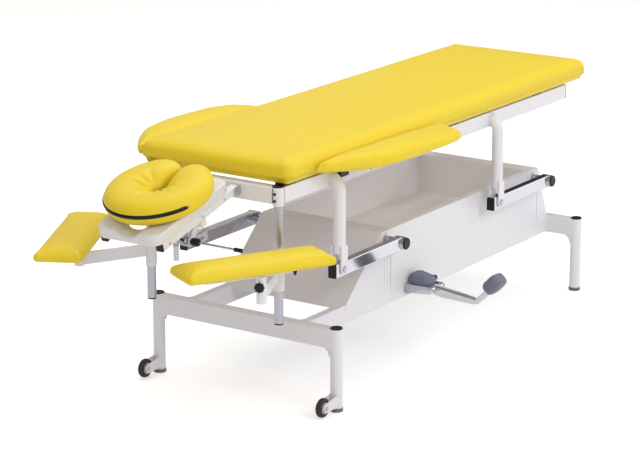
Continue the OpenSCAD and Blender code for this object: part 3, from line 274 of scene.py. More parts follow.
# %% [markdown]
# ## Finishes
# Several finishes share the same small effects, so each effect is a node group that is built once:
# a fine pebble for coated and moulded surfaces, a slow tone drift that breaks up flat colour, and
# the grain of artificial leather. A group only gives masks and heights; the shader stays outside.

# %% Shared effects as node groups
def effect_group(name, values, results):
    """A node group that takes a vector and named values and gives named results."""
    group = bpy.data.node_groups.new(name, "ShaderNodeTree")
    group.interface.new_socket("Vector", in_out="INPUT", socket_type="NodeSocketVector")
    for label, value in values.items():
        socket = group.interface.new_socket(label, in_out="INPUT", socket_type="NodeSocketFloat")
        socket.default_value = value
    for label in results:
        group.interface.new_socket(label, in_out="OUTPUT", socket_type="NodeSocketFloat")
    return group, group.nodes.new("NodeGroupInput").outputs, group.nodes.new("NodeGroupOutput").inputs


def build_pebble():
    """Height of orange-peel paint: two noises, the finer one at a third of the depth."""
    group, given, result = effect_group("pebble", {"Scale": 500.0}, ["Height"])
    broad = noise(group, given["Vector"], given["Scale"], 1.0)
    fine = noise(group, given["Vector"], math_node(group, "MULTIPLY", given["Scale"], 3.1))
    third = math_node(group, "MULTIPLY", fine, 0.33)
    feed(group, result["Height"], math_node(group, "ADD", broad, third))
    return group


def build_drift():
    """Slow change of tone: low noise mapped round 1 with a given amount."""
    group, given, result = effect_group("tone_drift", {"Scale": 4.0, "Amount": 0.06}, ["Tone"])
    cloud = noise(group, given["Vector"], given["Scale"], 3.0)
    swing = math_node(group, "MULTIPLY", math_node(group, "SUBTRACT", cloud, 0.5), given["Amount"])
    feed(group, result["Tone"], math_node(group, "ADD", swing, 1.0))
    return group


def build_hide():
    """Artificial leather: rounded cells between shallow creases, broken up by noise."""
    group, given, result = effect_group("hide_grain", {"Scale": 420.0}, ["Height", "Crease"])
    bend = add_node(group, "TexNoise", {"Vector": given["Vector"], "Scale": 90.0})
    inputs = {0: bend.outputs["Color"], 1: (0.004, 0.004, 0.004), 2: given["Vector"]}
    shift = add_node(group, "VectorMath", inputs, operation="MULTIPLY_ADD")
    inputs = {"Vector": shift.outputs[0], "Scale": given["Scale"]}
    cells = add_node(group, "TexVoronoi", inputs, feature="DISTANCE_TO_EDGE")
    ramp = add_node(group, "MapRange", {"Value": cells.outputs["Distance"], "From Max": 0.32}).outputs[0]
    feed(group, result["Height"], ramp)
    feed(group, result["Crease"], math_node(group, "SUBTRACT", 1.0, ramp))
    return group


PEBBLE, DRIFT, HIDE = build_pebble(), build_drift(), build_hide()
print("effects:", [g.name for g in bpy.data.node_groups])


# %% Material helpers
def start_material(name):
    """A material, its node tree, its shader's inputs and its object coordinates."""
    mat = bpy.data.materials.new(name)
    mat.use_nodes = True
    tree = mat.node_tree
    return mat, tree, tree.nodes["Principled BSDF"].inputs, add_node(tree, "TexCoord").outputs["Object"]


def use_group(tree, group, where, **values):
    """Places an effect in a material with its own values and gives its outputs."""
    return add_node(tree, "Group", {"Vector": where, **values}, node_tree=group).outputs


def toned(tree, colour, where, scale, amount):
    """The colour times a tone that drifts over the surface."""
    tone = use_group(tree, DRIFT, where, Scale=scale, Amount=amount)["Tone"]
    return add_node(tree, "VectorMath", {0: colour, "Scale": tone}, operation="SCALE").outputs[0]


def mixed(tree, share, below, above):
    """The colour below, replaced by the colour above as far as the share goes."""
    inputs = {"Factor": share, "A": below, "B": (*above, 1)}
    return add_node(tree, "Mix", inputs, data_type="RGBA").outputs["Result"]


def add_bump(tree, shader, height, distance, strength):
    """Turns a height into the shader's normal."""
    inputs = {"Height": height, "Distance": distance, "Strength": strength}
    feed(tree, shader["Normal"], add_node(tree, "Bump", inputs).outputs[0])


def coated(name, colour, rough, peel=700.0, depth=0.00005, drift=0.03, gloss=0.5, painted_light_inside=None):
    """Paint or moulded plastic: pebbled surface, drifting tone and roughness. The last argument paints
    light: a second, brighter colour for what lies nearer the middle line than a given distance."""
    mat, tree, shader, where = start_material(name)
    base = toned(tree, colour, where, 5.0, drift)
    # painted light: nearer the middle line than the distance, the colour turns to the brighter inner white
    # that stands in for light inside the tub
    if painted_light_inside:
        inner, distance = painted_light_inside
        y = add_node(tree, "SeparateXYZ", {"Vector": where}).outputs["Y"]
        inside = math_node(tree, "LESS_THAN", math_node(tree, "ABSOLUTE", y), distance)
        base = mixed(tree, inside, base, inner)
    feed(tree, shader["Base Color"], base)
    smear = use_group(tree, DRIFT, where, Scale=23.0, Amount=0.5)["Tone"]
    feed(tree, shader["Roughness"], math_node(tree, "MULTIPLY", smear, rough))
    add_bump(tree, shader, use_group(tree, PEBBLE, where, Scale=peel)["Height"], depth, 0.6)
    feed(tree, shader["Specular IOR Level"], gloss)
    return mat


def metal(name, colour, rough, scratch):
    """Bright metal: fine scratches along X lower its polish a little."""
    mat, tree, shader, where = start_material(name)
    stretch = add_node(tree, "Mapping", {"Vector": where, "Scale": (6.0, 260.0, 260.0)})
    lines = noise(tree, stretch.outputs[0], 3.0, 4.0)
    fine = math_node(tree, "MULTIPLY", lines, scratch)
    feed(tree, shader["Roughness"], math_node(tree, "ADD", fine, rough))
    feed(tree, shader["Base Color"], toned(tree, colour, where, 9.0, 0.05))
    feed(tree, shader["Metallic"], 1.0)
    add_bump(tree, shader, lines, 0.00002, 0.25)
    return mat


GRAIN_SCALE, CREASE_SHADE_SHARE, DENT_SCALE, DENT_SHARE = 430.0, 0.22, 14.0, 9.0


def vinyl(name, colour, crease_shade_colour):
    """Soft artificial leather: grain cells, creases darkened with painted shade, a slow drift and broad soft
    dents.
    """
    mat, tree, shader, where = start_material(name)
    grain = use_group(tree, HIDE, where, Scale=GRAIN_SCALE)
    # painted shade: the grain's creases are mixed towards the darker orange second colour
    amount = math_node(tree, "MULTIPLY", grain["Crease"], CREASE_SHADE_SHARE)
    base = toned(tree, colour, where, 3.0, 0.05)
    feed(tree, shader["Base Color"], mixed(tree, amount, base, crease_shade_colour))
    dents = math_node(tree, "MULTIPLY", noise(tree, where, DENT_SCALE), DENT_SHARE)
    add_bump(tree, shader, math_node(tree, "ADD", grain["Height"], dents), 0.00009, 0.8)
    rough = math_node(tree, "MULTIPLY", grain["Crease"], 0.12)
    feed(tree, shader["Roughness"], math_node(tree, "ADD", rough, 0.42))
    feed(tree, shader["Specular IOR Level"], 0.34)
    feed(tree, shader["Sheen Weight"], 0.06)
    feed(tree, shader["Sheen Roughness"], 0.5)
    return mat


# %% [markdown]
# A finish has a base colour, a roughness and its own depth of pebble or scratch. The tub's side
# panels are painted brighter inside than outside, as painted light for their shaded inside; the
# brighter colour starts in the middle of the sheet.

# %% Table of finishes
# painted light: the inside white is brighter than the outside paint and stands in for light on the shaded
# inside of the tub
PAINTED_LIGHT_INSIDE_WHITE, PANEL_MIDDLE = (0.985, 0.965, 0.965), 0.2289
FINISH = {
    "white_paint": coated("white_powder_coat", (0.815, 0.81, 0.855), 0.36),
    "tub_inside_painted_light": coated("white_tub_lining", PAINTED_LIGHT_INSIDE_WHITE, 0.42),
    "tub_panels_painted_light_inside": coated("white_tub_panels", (0.80, 0.80, 0.84), 0.36, painted_light_inside=(PAINTED_LIGHT_INSIDE_WHITE, PANEL_MIDDLE)),
    "post_chrome": metal("satin_chrome", (0.40, 0.405, 0.45), 0.30, 0.10),
    "white_plastic": coated("white_moulding", (0.76, 0.755, 0.765), 0.32, peel=1100.0),
    "black_paint": coated("black_paint", (0.012, 0.012, 0.014), 0.42, gloss=0.3),
    "black_plastic": coated(
        "black_moulding", (0.007, 0.008, 0.009), 0.42, peel=1300.0, drift=0.12, gloss=0.25),
    "grey_paint": metal("zinc_grey", (0.50, 0.51, 0.53), 0.32, 0.2),
    "zinc": metal("zinc_bright", (0.55, 0.56, 0.59), 0.24, 0.2),
    "chrome": metal("chrome_plate", (0.56, 0.565, 0.61), 0.07, 0.06),
    # the yellow vinyl's second colour is painted shade for the grain's creases
    "yellow_vinyl": vinyl("yellow_vinyl", (0.84, 0.648, 0.019), (0.74, 0.47, 0.012)),
    "wheel_rubber": coated(
        "tyre_rubber", (0.033, 0.030, 0.034), 0.62, peel=900.0, depth=0.00012, drift=0.2, gloss=0.3),
    "foot_rubber": coated("foot_rubber", (0.16, 0.16, 0.17), 0.62, peel=900.0, depth=0.0001, drift=0.2),
    "hub_plastic": coated("hub_moulding", (0.55, 0.50, 0.40), 0.4, peel=1300.0),
    "pedal_plastic": coated(
        "pedal_moulding", (0.15, 0.165, 0.23), 0.5, peel=1000.0, depth=0.0001, drift=0.15),
    "plywood": coated("raw_plywood", (0.50, 0.37, 0.22), 0.7, peel=240.0, depth=0.0002, drift=0.3),
}
print("finishes:", sorted(FINISH))

# %% [markdown]
# ## Paint on the frame
# The construction nodes keep their shape. Each one gets the finish of its slot in the record, so a
# reader can follow from the record to the look. Four nodes have a variant of their slot's finish.

# %% Finish every construction node
# painted light: the tub's floor, rear cowl and the inner faces of its side panels get the brighter inside
# white, which stands in for light in the shaded tub
OWN_FINISH = {
    "tub_floor": "tub_inside_painted_light",
    "tub_rear_cowl": "tub_inside_painted_light",
    "tub_side_panels": "tub_panels_painted_light_inside",
    "armrest_posts": "post_chrome",
}
for part in frame["record"]["subparts"]:
    node = frame["nodes"][part["node"]]
    node.data.materials.clear()
    node.data.materials.append(FINISH[OWN_FINISH.get(part["node"], part["material_slot"])])
print("nodes finished:", len(frame["nodes"]))

# %% [markdown]
# ## Surfaces from two parameters
# Every new piece is a grid of points: one direction runs round a closed outline, the other from
# ring to ring. One helper turns such a stack of rings into a mesh and closes its two ends.

# %% Grid helper
def smooth_mesh(name, rings, loop=False):
    """rings has shape (m, n, 3): m closed rings of n points, first ring lowest or innermost. Each
    end is closed with a point at the mean of its ring, or loop joins the last ring to the first."""
    rings = np.asarray(rings, dtype=float)
    m, n = rings.shape[:2]
    i, k = np.meshgrid(np.arange(m if loop else m - 1), np.arange(n), indexing="ij")
    i, k, after = i.ravel(), k.ravel(), ((k + 1) % n).ravel()
    this_ring, next_ring = i * n, (i + 1) % m * n
    quads = np.stack([this_ring + k, this_ring + after, next_ring + after, next_ring + k], axis=-1)
    verts, faces = rings.reshape(-1, 3), quads.tolist()
    if not loop:
        verts = np.vstack([verts, rings[0].mean(axis=0), rings[-1].mean(axis=0)])
        r, last = np.arange(n), (m - 1) * n
        low = np.stack([(r + 1) % n, r, np.full(n, m * n)], axis=-1)
        high = np.stack([last + r, last + (r + 1) % n, np.full(n, m * n + 1)], axis=-1)
        faces += low.tolist() + high.tolist()
    return new_object(name, verts, faces)


def finish_piece(obj, body, slot, replaced=()):
    """Gives a piece its finish and the body it rides on, and hides the nodes that it replaces."""
    obj.data.materials.clear()
    obj.data.materials.append(FINISH[slot])
    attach(obj, body)
    if replaced:
        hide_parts(*replaced)
    return obj


# %% [markdown]
# ## Padding
# A cushion is foam under a tight cover: crowned on top, rolled over at the edge and drawn in a
# little below the roll. We carry an edge profile round a rounded outline, then let a cloth
# simulation with inside pressure swell the cover, with the board side held still. A cap on how
# far a point may move keeps the cushion in its own space.

# %% Cushion outlines and simulation
def round_outline(length, width, radius, inset, count=28):
    """A rectangle with round corners, drawn in by inset: four quarter circles joined by straight
    sides. The radius shrinks with the inset, down to an eighth of itself."""
    r = max(radius - inset, radius / 8)
    a = np.linspace(0, PI / 2, count // 4)
    corner = np.stack([np.cos(a), np.sin(a)], axis=-1) * r
    cx, cy = length / 2 - inset - r, width / 2 - inset - r
    first = corner + (cx, cy)
    second = first[::-1] * (-1, 1)
    return np.vstack([first, second, -first, -second])


def cut_corners(points, times, closed=True):
    """Replaces each corner by two points at a quarter and three quarters of its sides; an open
    line keeps its two ends."""
    for _ in range(times):
        after = np.roll(points, -1, axis=0)
        pairs = np.stack([0.75 * points + 0.25 * after, 0.25 * points + 0.75 * after], axis=1)
        if closed:
            points = pairs.reshape(-1, 2)
        else:
            points = np.vstack([points[:1], pairs[:-1].reshape(-1, 2)[1:-1], points[-1:]])
    return points


EDGE_SHARES = np.array([
    (0.30, 0), (0.12, 0.05), (0.02, 0.17), (0, 0.38), (0.05, 0.60),
    (0.22, 0.80), (0.46, 0.92), (0.74, 0.985), (1, 1)])


def edge_profile(reach, thick):
    """Inset and height of a stuffed edge from the underside to the top: a line through nine shares
    of the edge's reach and thickness, with its corners cut twice."""
    return cut_corners(EDGE_SHARES * (reach, thick), 2, closed=False)


def slab_cushion(length, width, radius, thick, crown, reach):
    """Rings of a rectangular cushion round zero with its underside at height zero. Over the top the
    height rises by the crown times 1 - (1 - share)^2, where share runs from rim to middle line."""
    half = width / 2
    steps = [(half * 0.93, 0.0), *edge_profile(reach, thick)]
    for share in np.linspace(0.06, 0.985, 12):
        steps.append((reach + share * (half - reach), thick + crown * (1 - (1 - share) ** 2)))
    return np.array([flat_ring(round_outline(length, width, radius, d), z) for d, z in steps])


COVER_STIFFNESS, COVER_BENDING = 14.0, 0.6


def swell(obj, voxel, pressure, cap, hold_below, smooth=2, steps=20):
    """Remeshes a closed cover into even cells, blows it up as cloth and limits each point's travel
    to cap. Points lower than hold_below are held still."""
    remesh = obj.modifiers.new("cells", "REMESH")
    remesh.mode = "VOXEL"
    remesh.voxel_size = voxel
    remesh.use_smooth_shade = True
    graph = bpy.context.evaluated_depsgraph_get()
    even = bpy.data.meshes.new_from_object(obj.evaluated_get(graph))
    obj.modifiers.clear()
    obj.data = even
    start = read_points(even)
    held = obj.vertex_groups.new(name="board_side")
    held.add(np.flatnonzero(start[:, 2] < hold_below).tolist(), 1.0, "REPLACE")
    cloth = obj.modifiers.new("cover", "CLOTH")
    rules = cloth.settings
    rules.use_pressure = True
    rules.uniform_pressure_force = pressure
    rules.vertex_group_mass = "board_side"
    rules.effector_weights.gravity = 0.0
    rules.tension_stiffness = rules.compression_stiffness = COVER_STIFFNESS
    rules.bending_stiffness = COVER_BENDING
    rules.quality = 4
    cloth.point_cache.frame_start, cloth.point_cache.frame_end = 1, steps
    for step in range(1, steps + 1):
        scene.frame_set(step)
    graph = bpy.context.evaluated_depsgraph_get()
    swollen = bpy.data.meshes.new_from_object(obj.evaluated_get(graph))
    move = read_points(swollen) - start
    size = np.linalg.norm(move, axis=1, keepdims=True)
    start = start + move * np.minimum(1.0, cap / np.maximum(size, 1e-9))
    obj.modifiers.clear()
    obj.vertex_groups.clear()
    scene.frame_set(1)
    write_points(even, start)
    even.polygons.foreach_set("use_smooth", np.ones(len(even.polygons), dtype=bool))
    relax = obj.modifiers.new("relax", "SMOOTH")
    relax.factor, relax.iterations = 0.5, smooth
    print(obj.name, "swollen:", len(even.vertices), "points")
    graph = bpy.context.evaluated_depsgraph_get()
    obj.data = bpy.data.meshes.new_from_object(obj.evaluated_get(graph))
    obj.modifiers.clear()
    return obj


def place(obj, turn_z=0.0, shift=(0, 0, 0), mirror_y=False, tilt_y=0.0):
    """Tilts about Y, turns about Z and shifts the mesh itself, so that the object stays at zero."""
    p = read_points(obj.data)
    if mirror_y:
        p = p * (1, -1, 1)
        obj.data.flip_normals()
    c, s = math.cos(tilt_y), math.sin(tilt_y)
    p = np.c_[c * p[:, 0] + s * p[:, 2], p[:, 1], -s * p[:, 0] + c * p[:, 2]]
    c, s = math.cos(turn_z), math.sin(turn_z)
    p = np.c_[c * p[:, 0] - s * p[:, 1], s * p[:, 0] + c * p[:, 1], p[:, 2]]
    write_points(obj.data, p + np.array(shift))
    return obj


def refine(obj):
    """One live subdivision, the same for view and render."""
    sub = obj.modifiers.new("refine", "SUBSURF")
    sub.levels = sub.render_levels = 1


# %% Main pad
low, high = (np.array(corner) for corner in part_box("main_pad"))
SPARE_X, SPARE_Y = 0.003, 0.004  # the cushion is this much smaller than its board
PAD = dict(length=high[0] - low[0] - SPARE_X, width=high[1] - low[1] - SPARE_Y, radius=0.031)
pad = smooth_mesh("main_cushion", slab_cushion(**PAD, thick=0.0535, crown=0.009, reach=0.034))
swell(pad, voxel=0.009, pressure=3.0, cap=0.004, hold_below=0.005, steps=14)
PAD_MIDDLE = (low[0] + high[0]) / 2
place(pad, shift=(PAD_MIDDLE, 0, low[2] + 0.0005))
refine(pad)
finish_piece(pad, "upper_frame", "yellow_vinyl", replaced=["main_pad"])
print("main cushion:", len(pad.data.vertices), "points")

# %% [markdown]
# ## The cover's hem
# Upholsterers pull the cover round the edge of the board and staple it underneath. The hem is a
# thin closed section carried round the board: down its side and a short way under it. At the four
# corners the spare cloth is laid in small pleats, so there the section waves in and out.

# %% Hem round the board
HEM_SECTION = np.array([
    (0.030, -0.0124), (0.0222, -0.0130), (0.0206, -0.0118), (0.0196, -0.0050), (0.0150, 0.0010),
    (0.0085, 0.0050), (0.0060, 0.0085), (0.0120, 0.0080), (0.0190, 0.0020), (0.0214, -0.0040),
    (0.0214, -0.0119), (0.030, -0.0121)])
PLEAT_DEPTH, PLEAT_PITCH, PLEAT_ZONE, PLEAT_TOP = 0.0013, 0.0135, 0.06, 0.004


def hem_rings(spacing=0.004):
    """The hem's section, as insets from the cushion's outline and heights over the board's top, at
    evenly spaced places round the board. Near a corner the insets of its lower part wave by a sine
    of the way walked round the board."""
    line = round_outline(PAD["length"] + SPARE_X, PAD["width"] + SPARE_Y, PAD["radius"], 0.0, 80)
    line = np.vstack([line, line[:1]])
    walked = np.r_[0, np.cumsum(np.linalg.norm(np.diff(line, axis=0), axis=1))]
    at = np.linspace(0, walked[-1], int(walked[-1] / spacing), endpoint=False)
    line = np.stack([np.interp(at, walked, line[:, i]) for i in (0, 1)], axis=-1)
    ahead = unit_rows(np.roll(line, -1, axis=0) - np.roll(line, 1, axis=0))
    inward = np.stack([-ahead[:, 1], ahead[:, 0]], axis=-1)
    corner_at = (PAD["length"] / 2 - 0.02, PAD["width"] / 2 - 0.02)
    corner = np.clip(1 - np.hypot(*(np.abs(line) - corner_at).T) / PLEAT_ZONE, 0, 1)
    pleat = PLEAT_DEPTH * corner * np.sin(2 * PI * at / PLEAT_PITCH)
    rings = []
    for inset, z in cut_corners(HEM_SECTION, 1):
        deep = inset + pleat * (z < PLEAT_TOP)
        rings.append(flat_ring(line + inward * deep[:, None], z))
    return np.array(rings).transpose(1, 0, 2)


hem = smooth_mesh("pad_hem", hem_rings(), loop=True)
place(hem, shift=(PAD_MIDDLE, 0, low[2]))
finish_piece(hem, "upper_frame", "yellow_vinyl")
print("hem:", len(hem.data.vertices), "points")

# %% [markdown]
# ## Side wings
# Each wing is a thin pad with one straight side against the main pad and one swelling curve. Its
# outline is a short list of shares of its length and reach, rounded by cutting corners four times.
# The foam gets thinner towards both ends. The far wing sits 100 mm nearer the head end.

# %% Side wings
WING_SHARES = np.array([
    (0.02, 0), (0.004, 0.06), (0.075, 0.38), (0.17, 0.70), (0.277, 0.92), (0.49, 1.01),
    (0.79, 1.01), (0.865, 0.92), (0.905, 0.74), (0.953, 0.34), (0.992, 0.06), (0.985, 0),
])
WING_THIN = np.array([(0, 0.80), (0.14, 1.0), (0.45, 1.0), (0.70, 0.88), (0.90, 0.64), (1.0, 0.44)])
WING_RUN, WING_RISE, INNER = 0.740, 0.150, 0.2844
WING_START = {"near": -0.815, "far": -0.915}


def inset_outline(outline, distance):
    """Moves each point inwards along its own normal, which is the tangent turned by a right angle.
    The sign of the outline's area tells on which side its inside lies."""
    x, y = outline.T
    way = np.sign(np.sum(x * np.roll(y, -1) - y * np.roll(x, -1)))
    tangent = unit_rows(np.roll(outline, -1, axis=0) - np.roll(outline, 1, axis=0))
    return outline + distance * np.stack([-tangent[:, 1], tangent[:, 0]], axis=-1) * way


def plan_cushion(outline, thick, crown, reach):
    """Rings of a cushion over any outline: the edge profile's insets, then shrinking copies that
    rise to the crown."""
    centre = outline.mean(axis=0)
    rings = [flat_ring(centre + (outline - centre) * 0.3, 0.0)]
    rings += [flat_ring(inset_outline(outline, d), z) for d, z in edge_profile(reach, thick)]
    rim = inset_outline(outline, reach)
    for share in np.linspace(0.08, 0.97, 9):
        height = thick + crown * (1 - (1 - share) ** 2)
        rings.append(flat_ring(centre + (rim - centre) * (1 - share), height))
    return np.array(rings)


def thin_towards_edges(obj):
    """Multiplies the height by a share that falls towards both ends of the wing, read off a line
    through six points, and by 1 - 0.2 (1 - y / 70 mm)^2 beside the main pad."""
    p = read_points(obj.data)
    p[:, 2] *= np.interp(p[:, 0] / WING_RUN, WING_THIN[:, 0], WING_THIN[:, 1])
    p[:, 2] *= 1 - 0.2 * np.clip(1 - p[:, 1] / 0.070, 0, 1) ** 2
    write_points(obj.data, p)


wing_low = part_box("side_wings")[0][2]
outline = cut_corners(WING_SHARES[::-1] * (WING_RUN, WING_RISE - 0.001), 4)
for side, start in WING_START.items():
    wing = smooth_mesh(side + "_wing", plan_cushion(outline, thick=0.0405, crown=0.006, reach=0.026))
    swell(wing, voxel=0.0055, pressure=3.0, cap=0.003, hold_below=0.004, steps=16)
    thin_towards_edges(wing)
    place(wing, shift=(start, INNER, wing_low + 0.0005))
    if side == "near":
        place(wing, mirror_y=True)
    refine(wing)
    finish_piece(wing, "upper_frame", "yellow_vinyl")
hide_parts("side_wings")
print("wings:", len(wing.data.vertices), "points each")

# %% [markdown]
# ## Armrest pads
# These are the main pad's recipe at arm size. Each lies turned as its link leaves it, so the mesh
# is built square and then turned about Z into its place.

# %% Armrest pads
REST_TURN = {"near": math.radians(-28.6), "far": math.radians(27.0)}
REST_SIZE = dict(length=0.477, width=0.149, radius=0.015, thick=0.0290, crown=0.0125, reach=0.019)
for label, turn in REST_TURN.items():
    low, high = (np.array(c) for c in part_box(label + "_armrest_pad"))
    rest = smooth_mesh(label + "_armrest_cushion", slab_cushion(**REST_SIZE))
    swell(rest, voxel=0.0055, pressure=3.0, cap=0.003, hold_below=0.004, steps=16)
    place(rest, turn_z=turn, shift=((low[0] + high[0]) / 2, (low[1] + high[1]) / 2, low[2] + 0.0003))
    refine(rest)
    finish_piece(rest, label + "_armrest", "yellow_vinyl", replaced=[label + "_armrest_pad"])
print("armrest cushions:", len(rest.data.vertices), "points each")

# %% [markdown]
# ## Face pillow
# A stuffed ring, open towards the table, with its cover gathered round the face hole. The tube's
# cross-section follows a horseshoe path; narrow valleys pressed into the swollen cover near the
# hole make the gathers. It is drawn flat and then tilted with the head section.

# %% Face pillow
HEAD_HINGE = (-0.966, 0.0, 0.702)
HEAD_TILT = math.radians(-15.0)
HEAD_COS, HEAD_SIN = math.cos(HEAD_TILT), math.sin(HEAD_TILT)
PILLOW_LOW = 0.0499
PILLOW = dict(centre=-0.211, long=0.336, wide=0.320, tall=0.078, tube=0.058, opening=2.5)
PATH_X, PATH_Y = PILLOW["long"] / 2 - PILLOW["tube"], PILLOW["wide"] / 2 - PILLOW["tube"]


def pillow_rings(stations=140, around=48):
    """Path angle a runs from one lobe round the head end to the other. The section is an oval that
    reaches further towards the hole than outwards; its width and height shrink as a quarter circle
    towards each lobe's tip, so that the two lobes press together at a valley."""
    end = math.radians(180 - PILLOW["opening"])
    a = np.linspace(-end, end, stations)[:, None]
    b = np.linspace(0, 2 * PI, around, endpoint=False)[None, :]
    tip = np.clip((end - np.abs(a)) / math.radians(36), 0.0, 1.0)
    grow = np.sqrt(1 - (1 - np.maximum(tip, 0.05)) ** 2)
    inward = np.clip(-np.cos(b), 0, 1)
    out = PILLOW["tube"] * grow * (1 + 0.42 * inward) * np.sign(np.cos(b)) * np.abs(np.cos(b)) ** 0.85
    power = 0.82 + 0.55 * inward ** 2
    rise = PILLOW["tall"] / 2 * (0.25 + 0.75 * grow) * np.sign(np.sin(b)) * np.abs(np.sin(b)) ** power
    x = PILLOW["centre"] - PATH_X * np.cos(a) - out * np.cos(a)
    y = PATH_Y * np.sin(a) + out * np.sin(a)
    z = PILLOW["tall"] / 2 + rise
    return np.stack(np.broadcast_arrays(x, y, z), axis=-1)


GATHERS = [  # path angle in degrees, depth in metres, width in degrees, bend in degrees
    (-128, 0.0022, 7, 10), (-104, 0.0034, 6, -8), (-84, 0.0046, 5, 6), (-67, 0.0030, 5, 12),
    (-50, 0.0050, 6, -6), (-30, 0.0036, 5, 8), (-13, 0.0048, 6, 14), (6, 0.0034, 5, -10),
    (24, 0.0060, 7, 16), (44, 0.0040, 6, 20), (66, 0.0050, 7, 10), (95, 0.0030, 8, -6),
    (124, 0.0024, 8, 8)]


def gather_cover(obj):
    """Presses narrow valleys into the cover round the face hole. With r the distance from the middle
    as a share of the path's, a valley is a bell curve of the path angle, bent in proportion to r,
    with a low swelling on each side, and fades as a bell curve of r."""
    p = read_points(obj.data)
    u, v = -(p[:, 0] - PILLOW["centre"]) / PATH_X, p[:, 1] / PATH_Y
    r, a = np.hypot(u, v), np.degrees(np.arctan2(v, u))
    fade = np.exp(-((r - 0.52) / 0.27) ** 2) * np.clip(p[:, 2] / PILLOW["tall"] * 2 - 0.5, 0, 1)
    deep = np.zeros(len(p))
    for angle, depth, width, bend in GATHERS:
        off = (a - angle - bend * (r - 0.5) * 2 + 180) % 360 - 180
        beside = np.exp(-((np.abs(off) - 1.9 * width) / width) ** 2)
        deep += depth * (np.exp(-(off / width) ** 2) - 0.45 * beside)
    away = np.stack([p[:, 0] - PILLOW["centre"], p[:, 1], np.zeros(len(p))], axis=-1)
    away /= np.maximum(np.linalg.norm(away, axis=1, keepdims=True), 1e-9)
    write_points(obj.data, p + (0.35 * away - (0, 0, 0.94)) * (deep * fade)[:, None])


pillow = smooth_mesh("face_cushion", pillow_rings()[:, ::-1])
swell(pillow, voxel=0.0042, pressure=4.0, cap=0.006, hold_below=0.006, smooth=1)
gather_cover(pillow)
place(pillow, tilt_y=HEAD_TILT)
pillow_x = HEAD_HINGE[0] + HEAD_SIN * PILLOW_LOW
place(pillow, shift=(pillow_x, 0, HEAD_HINGE[2] + HEAD_COS * PILLOW_LOW))
refine(pillow)
finish_piece(pillow, "head_section", "yellow_vinyl", replaced=["face_pillow"])
print("face cushion:", len(pillow.data.vertices), "points")

# %% [markdown]
# ## Head tray
# The tray under the face pillow is one white moulding with soft edges, a hole for the face and a
# dip at its head end. Seen as a surface it is a flattened ring: one parameter runs round between
# the outer rim and the hole's rim, the other goes over the top, round the rim and back below.

# %% Head tray
TRAY_LOW, TRAY_BACK = 0.0156, 0.206
TRAY_LONG, TRAY_WIDE, TRAY_THICK, TRAY_CORNER = 0.372, 0.230, 0.0338, 0.036
HOLE_LONG, HOLE_WIDE, HOLE_CORNER, HOLE_AT = 0.200, 0.110, 0.044, np.array((-0.029, 0.0))
SCOOP_RADIUS, SCOOP_RISE, SCOOP_SOFT, SCOOP_FROM = 0.070, 0.052, 0.0008, -0.095


def plate_outline(length, width, radius, t):
    """Rounded rectangle in polar form: the nearer of the two sides along each angle, or in a corner
    the far meeting point of the ray with the corner's circle."""
    ray = np.stack([np.cos(t), np.sin(t)], axis=-1)
    to_side = (length / 2, width / 2) / np.maximum(np.abs(ray), 1e-6)
    side = to_side.min(axis=1)
    corner = np.array((length / 2 - radius, width / 2 - radius))
    past = (np.abs(ray) * side[:, None] > corner).all(axis=1)
    along = np.abs(ray) @ corner
    arc = along + np.sqrt(np.maximum(along ** 2 - corner @ corner + radius ** 2, 0))
    return ray * np.where(past, arc, side)[:, None]


def tray_rings(around=320, across=16):
    """Outline points at matching angles on the outer rim and the hole; between them the top and the
    underside are straight, and both rims are quarter circles. The scoop is cut by a lying cylinder:
    its depth is the root of r^2 - y^2 less the height of the cylinder's middle over the tray."""
    t = np.linspace(0, 2 * PI, around, endpoint=False)
    outer = plate_outline(TRAY_LONG, TRAY_WIDE, TRAY_CORNER, t)
    inner = plate_outline(HOLE_LONG, HOLE_WIDE, HOLE_CORNER, t) + HOLE_AT
    unit_out, unit_in = unit_rows(outer), unit_rows(inner - HOLE_AT)
    roll, soft, top = 0.006, 0.003, TRAY_THICK
    a = np.linspace(0, PI / 2, 6)
    rim_top, hole_top = outer - unit_out * roll, inner + unit_in * roll
    rim_low, hole_low = outer - unit_out * soft, inner + unit_in * soft
    shell = [(hole_top + (rim_top - hole_top) * k, top) for k in np.linspace(0, 1, across)]
    shell += [(outer - unit_out * roll * (1 - np.sin(v)), top - roll * (1 - np.cos(v))) for v in a[1:]]
    shell += [(outer - unit_out * soft * (1 - np.cos(v)), soft * (1 - np.sin(v))) for v in a]
    shell += [(rim_low + (hole_low - rim_low) * k, 0.0) for k in np.linspace(0, 1, 6)[1:]]
    shell += [(inner + unit_in * soft * (1 - np.sin(v)), soft * (1 - np.cos(v))) for v in a[1:]]
    shell += [(inner + unit_in * roll * (1 - np.cos(v)), top - roll * (1 - np.sin(v))) for v in a[:-1]]
    rings = np.array([flat_ring(p, z) for p, z in shell])
    x, y, z = np.moveaxis(rings, -1, 0)
    scoop = np.sqrt(np.maximum(SCOOP_RADIUS ** 2 - y ** 2, 0)) - SCOOP_RISE
    scoop = 0.5 * (scoop + np.sqrt(scoop ** 2 + SCOOP_SOFT ** 2))
    scoop *= np.clip((SCOOP_FROM - x) / 0.03, 0, 1)
    rings[..., 2] = z - scoop * np.clip((z - 0.006) / 0.02, 0, 1)
    return rings


tray = smooth_mesh("head_tray_moulding", tray_rings(), loop=True)
place(tray, tilt_y=HEAD_TILT)
tray_x = HEAD_HINGE[0] - TRAY_BACK * HEAD_COS + HEAD_SIN * TRAY_LOW
place(tray, shift=(tray_x, 0, HEAD_HINGE[2] + TRAY_BACK * HEAD_SIN + HEAD_COS * TRAY_LOW))
refine(tray)
finish_piece(tray, "head_section", "white_plastic", replaced=["head_tray"])

# %% [markdown]
# ## Turned and moulded small parts
# Knobs, grips, washers, screws and studs are turned shapes: a profile of radius and height carried
# round an axis. A lobed knob is the same with a radius that waves round the axis.

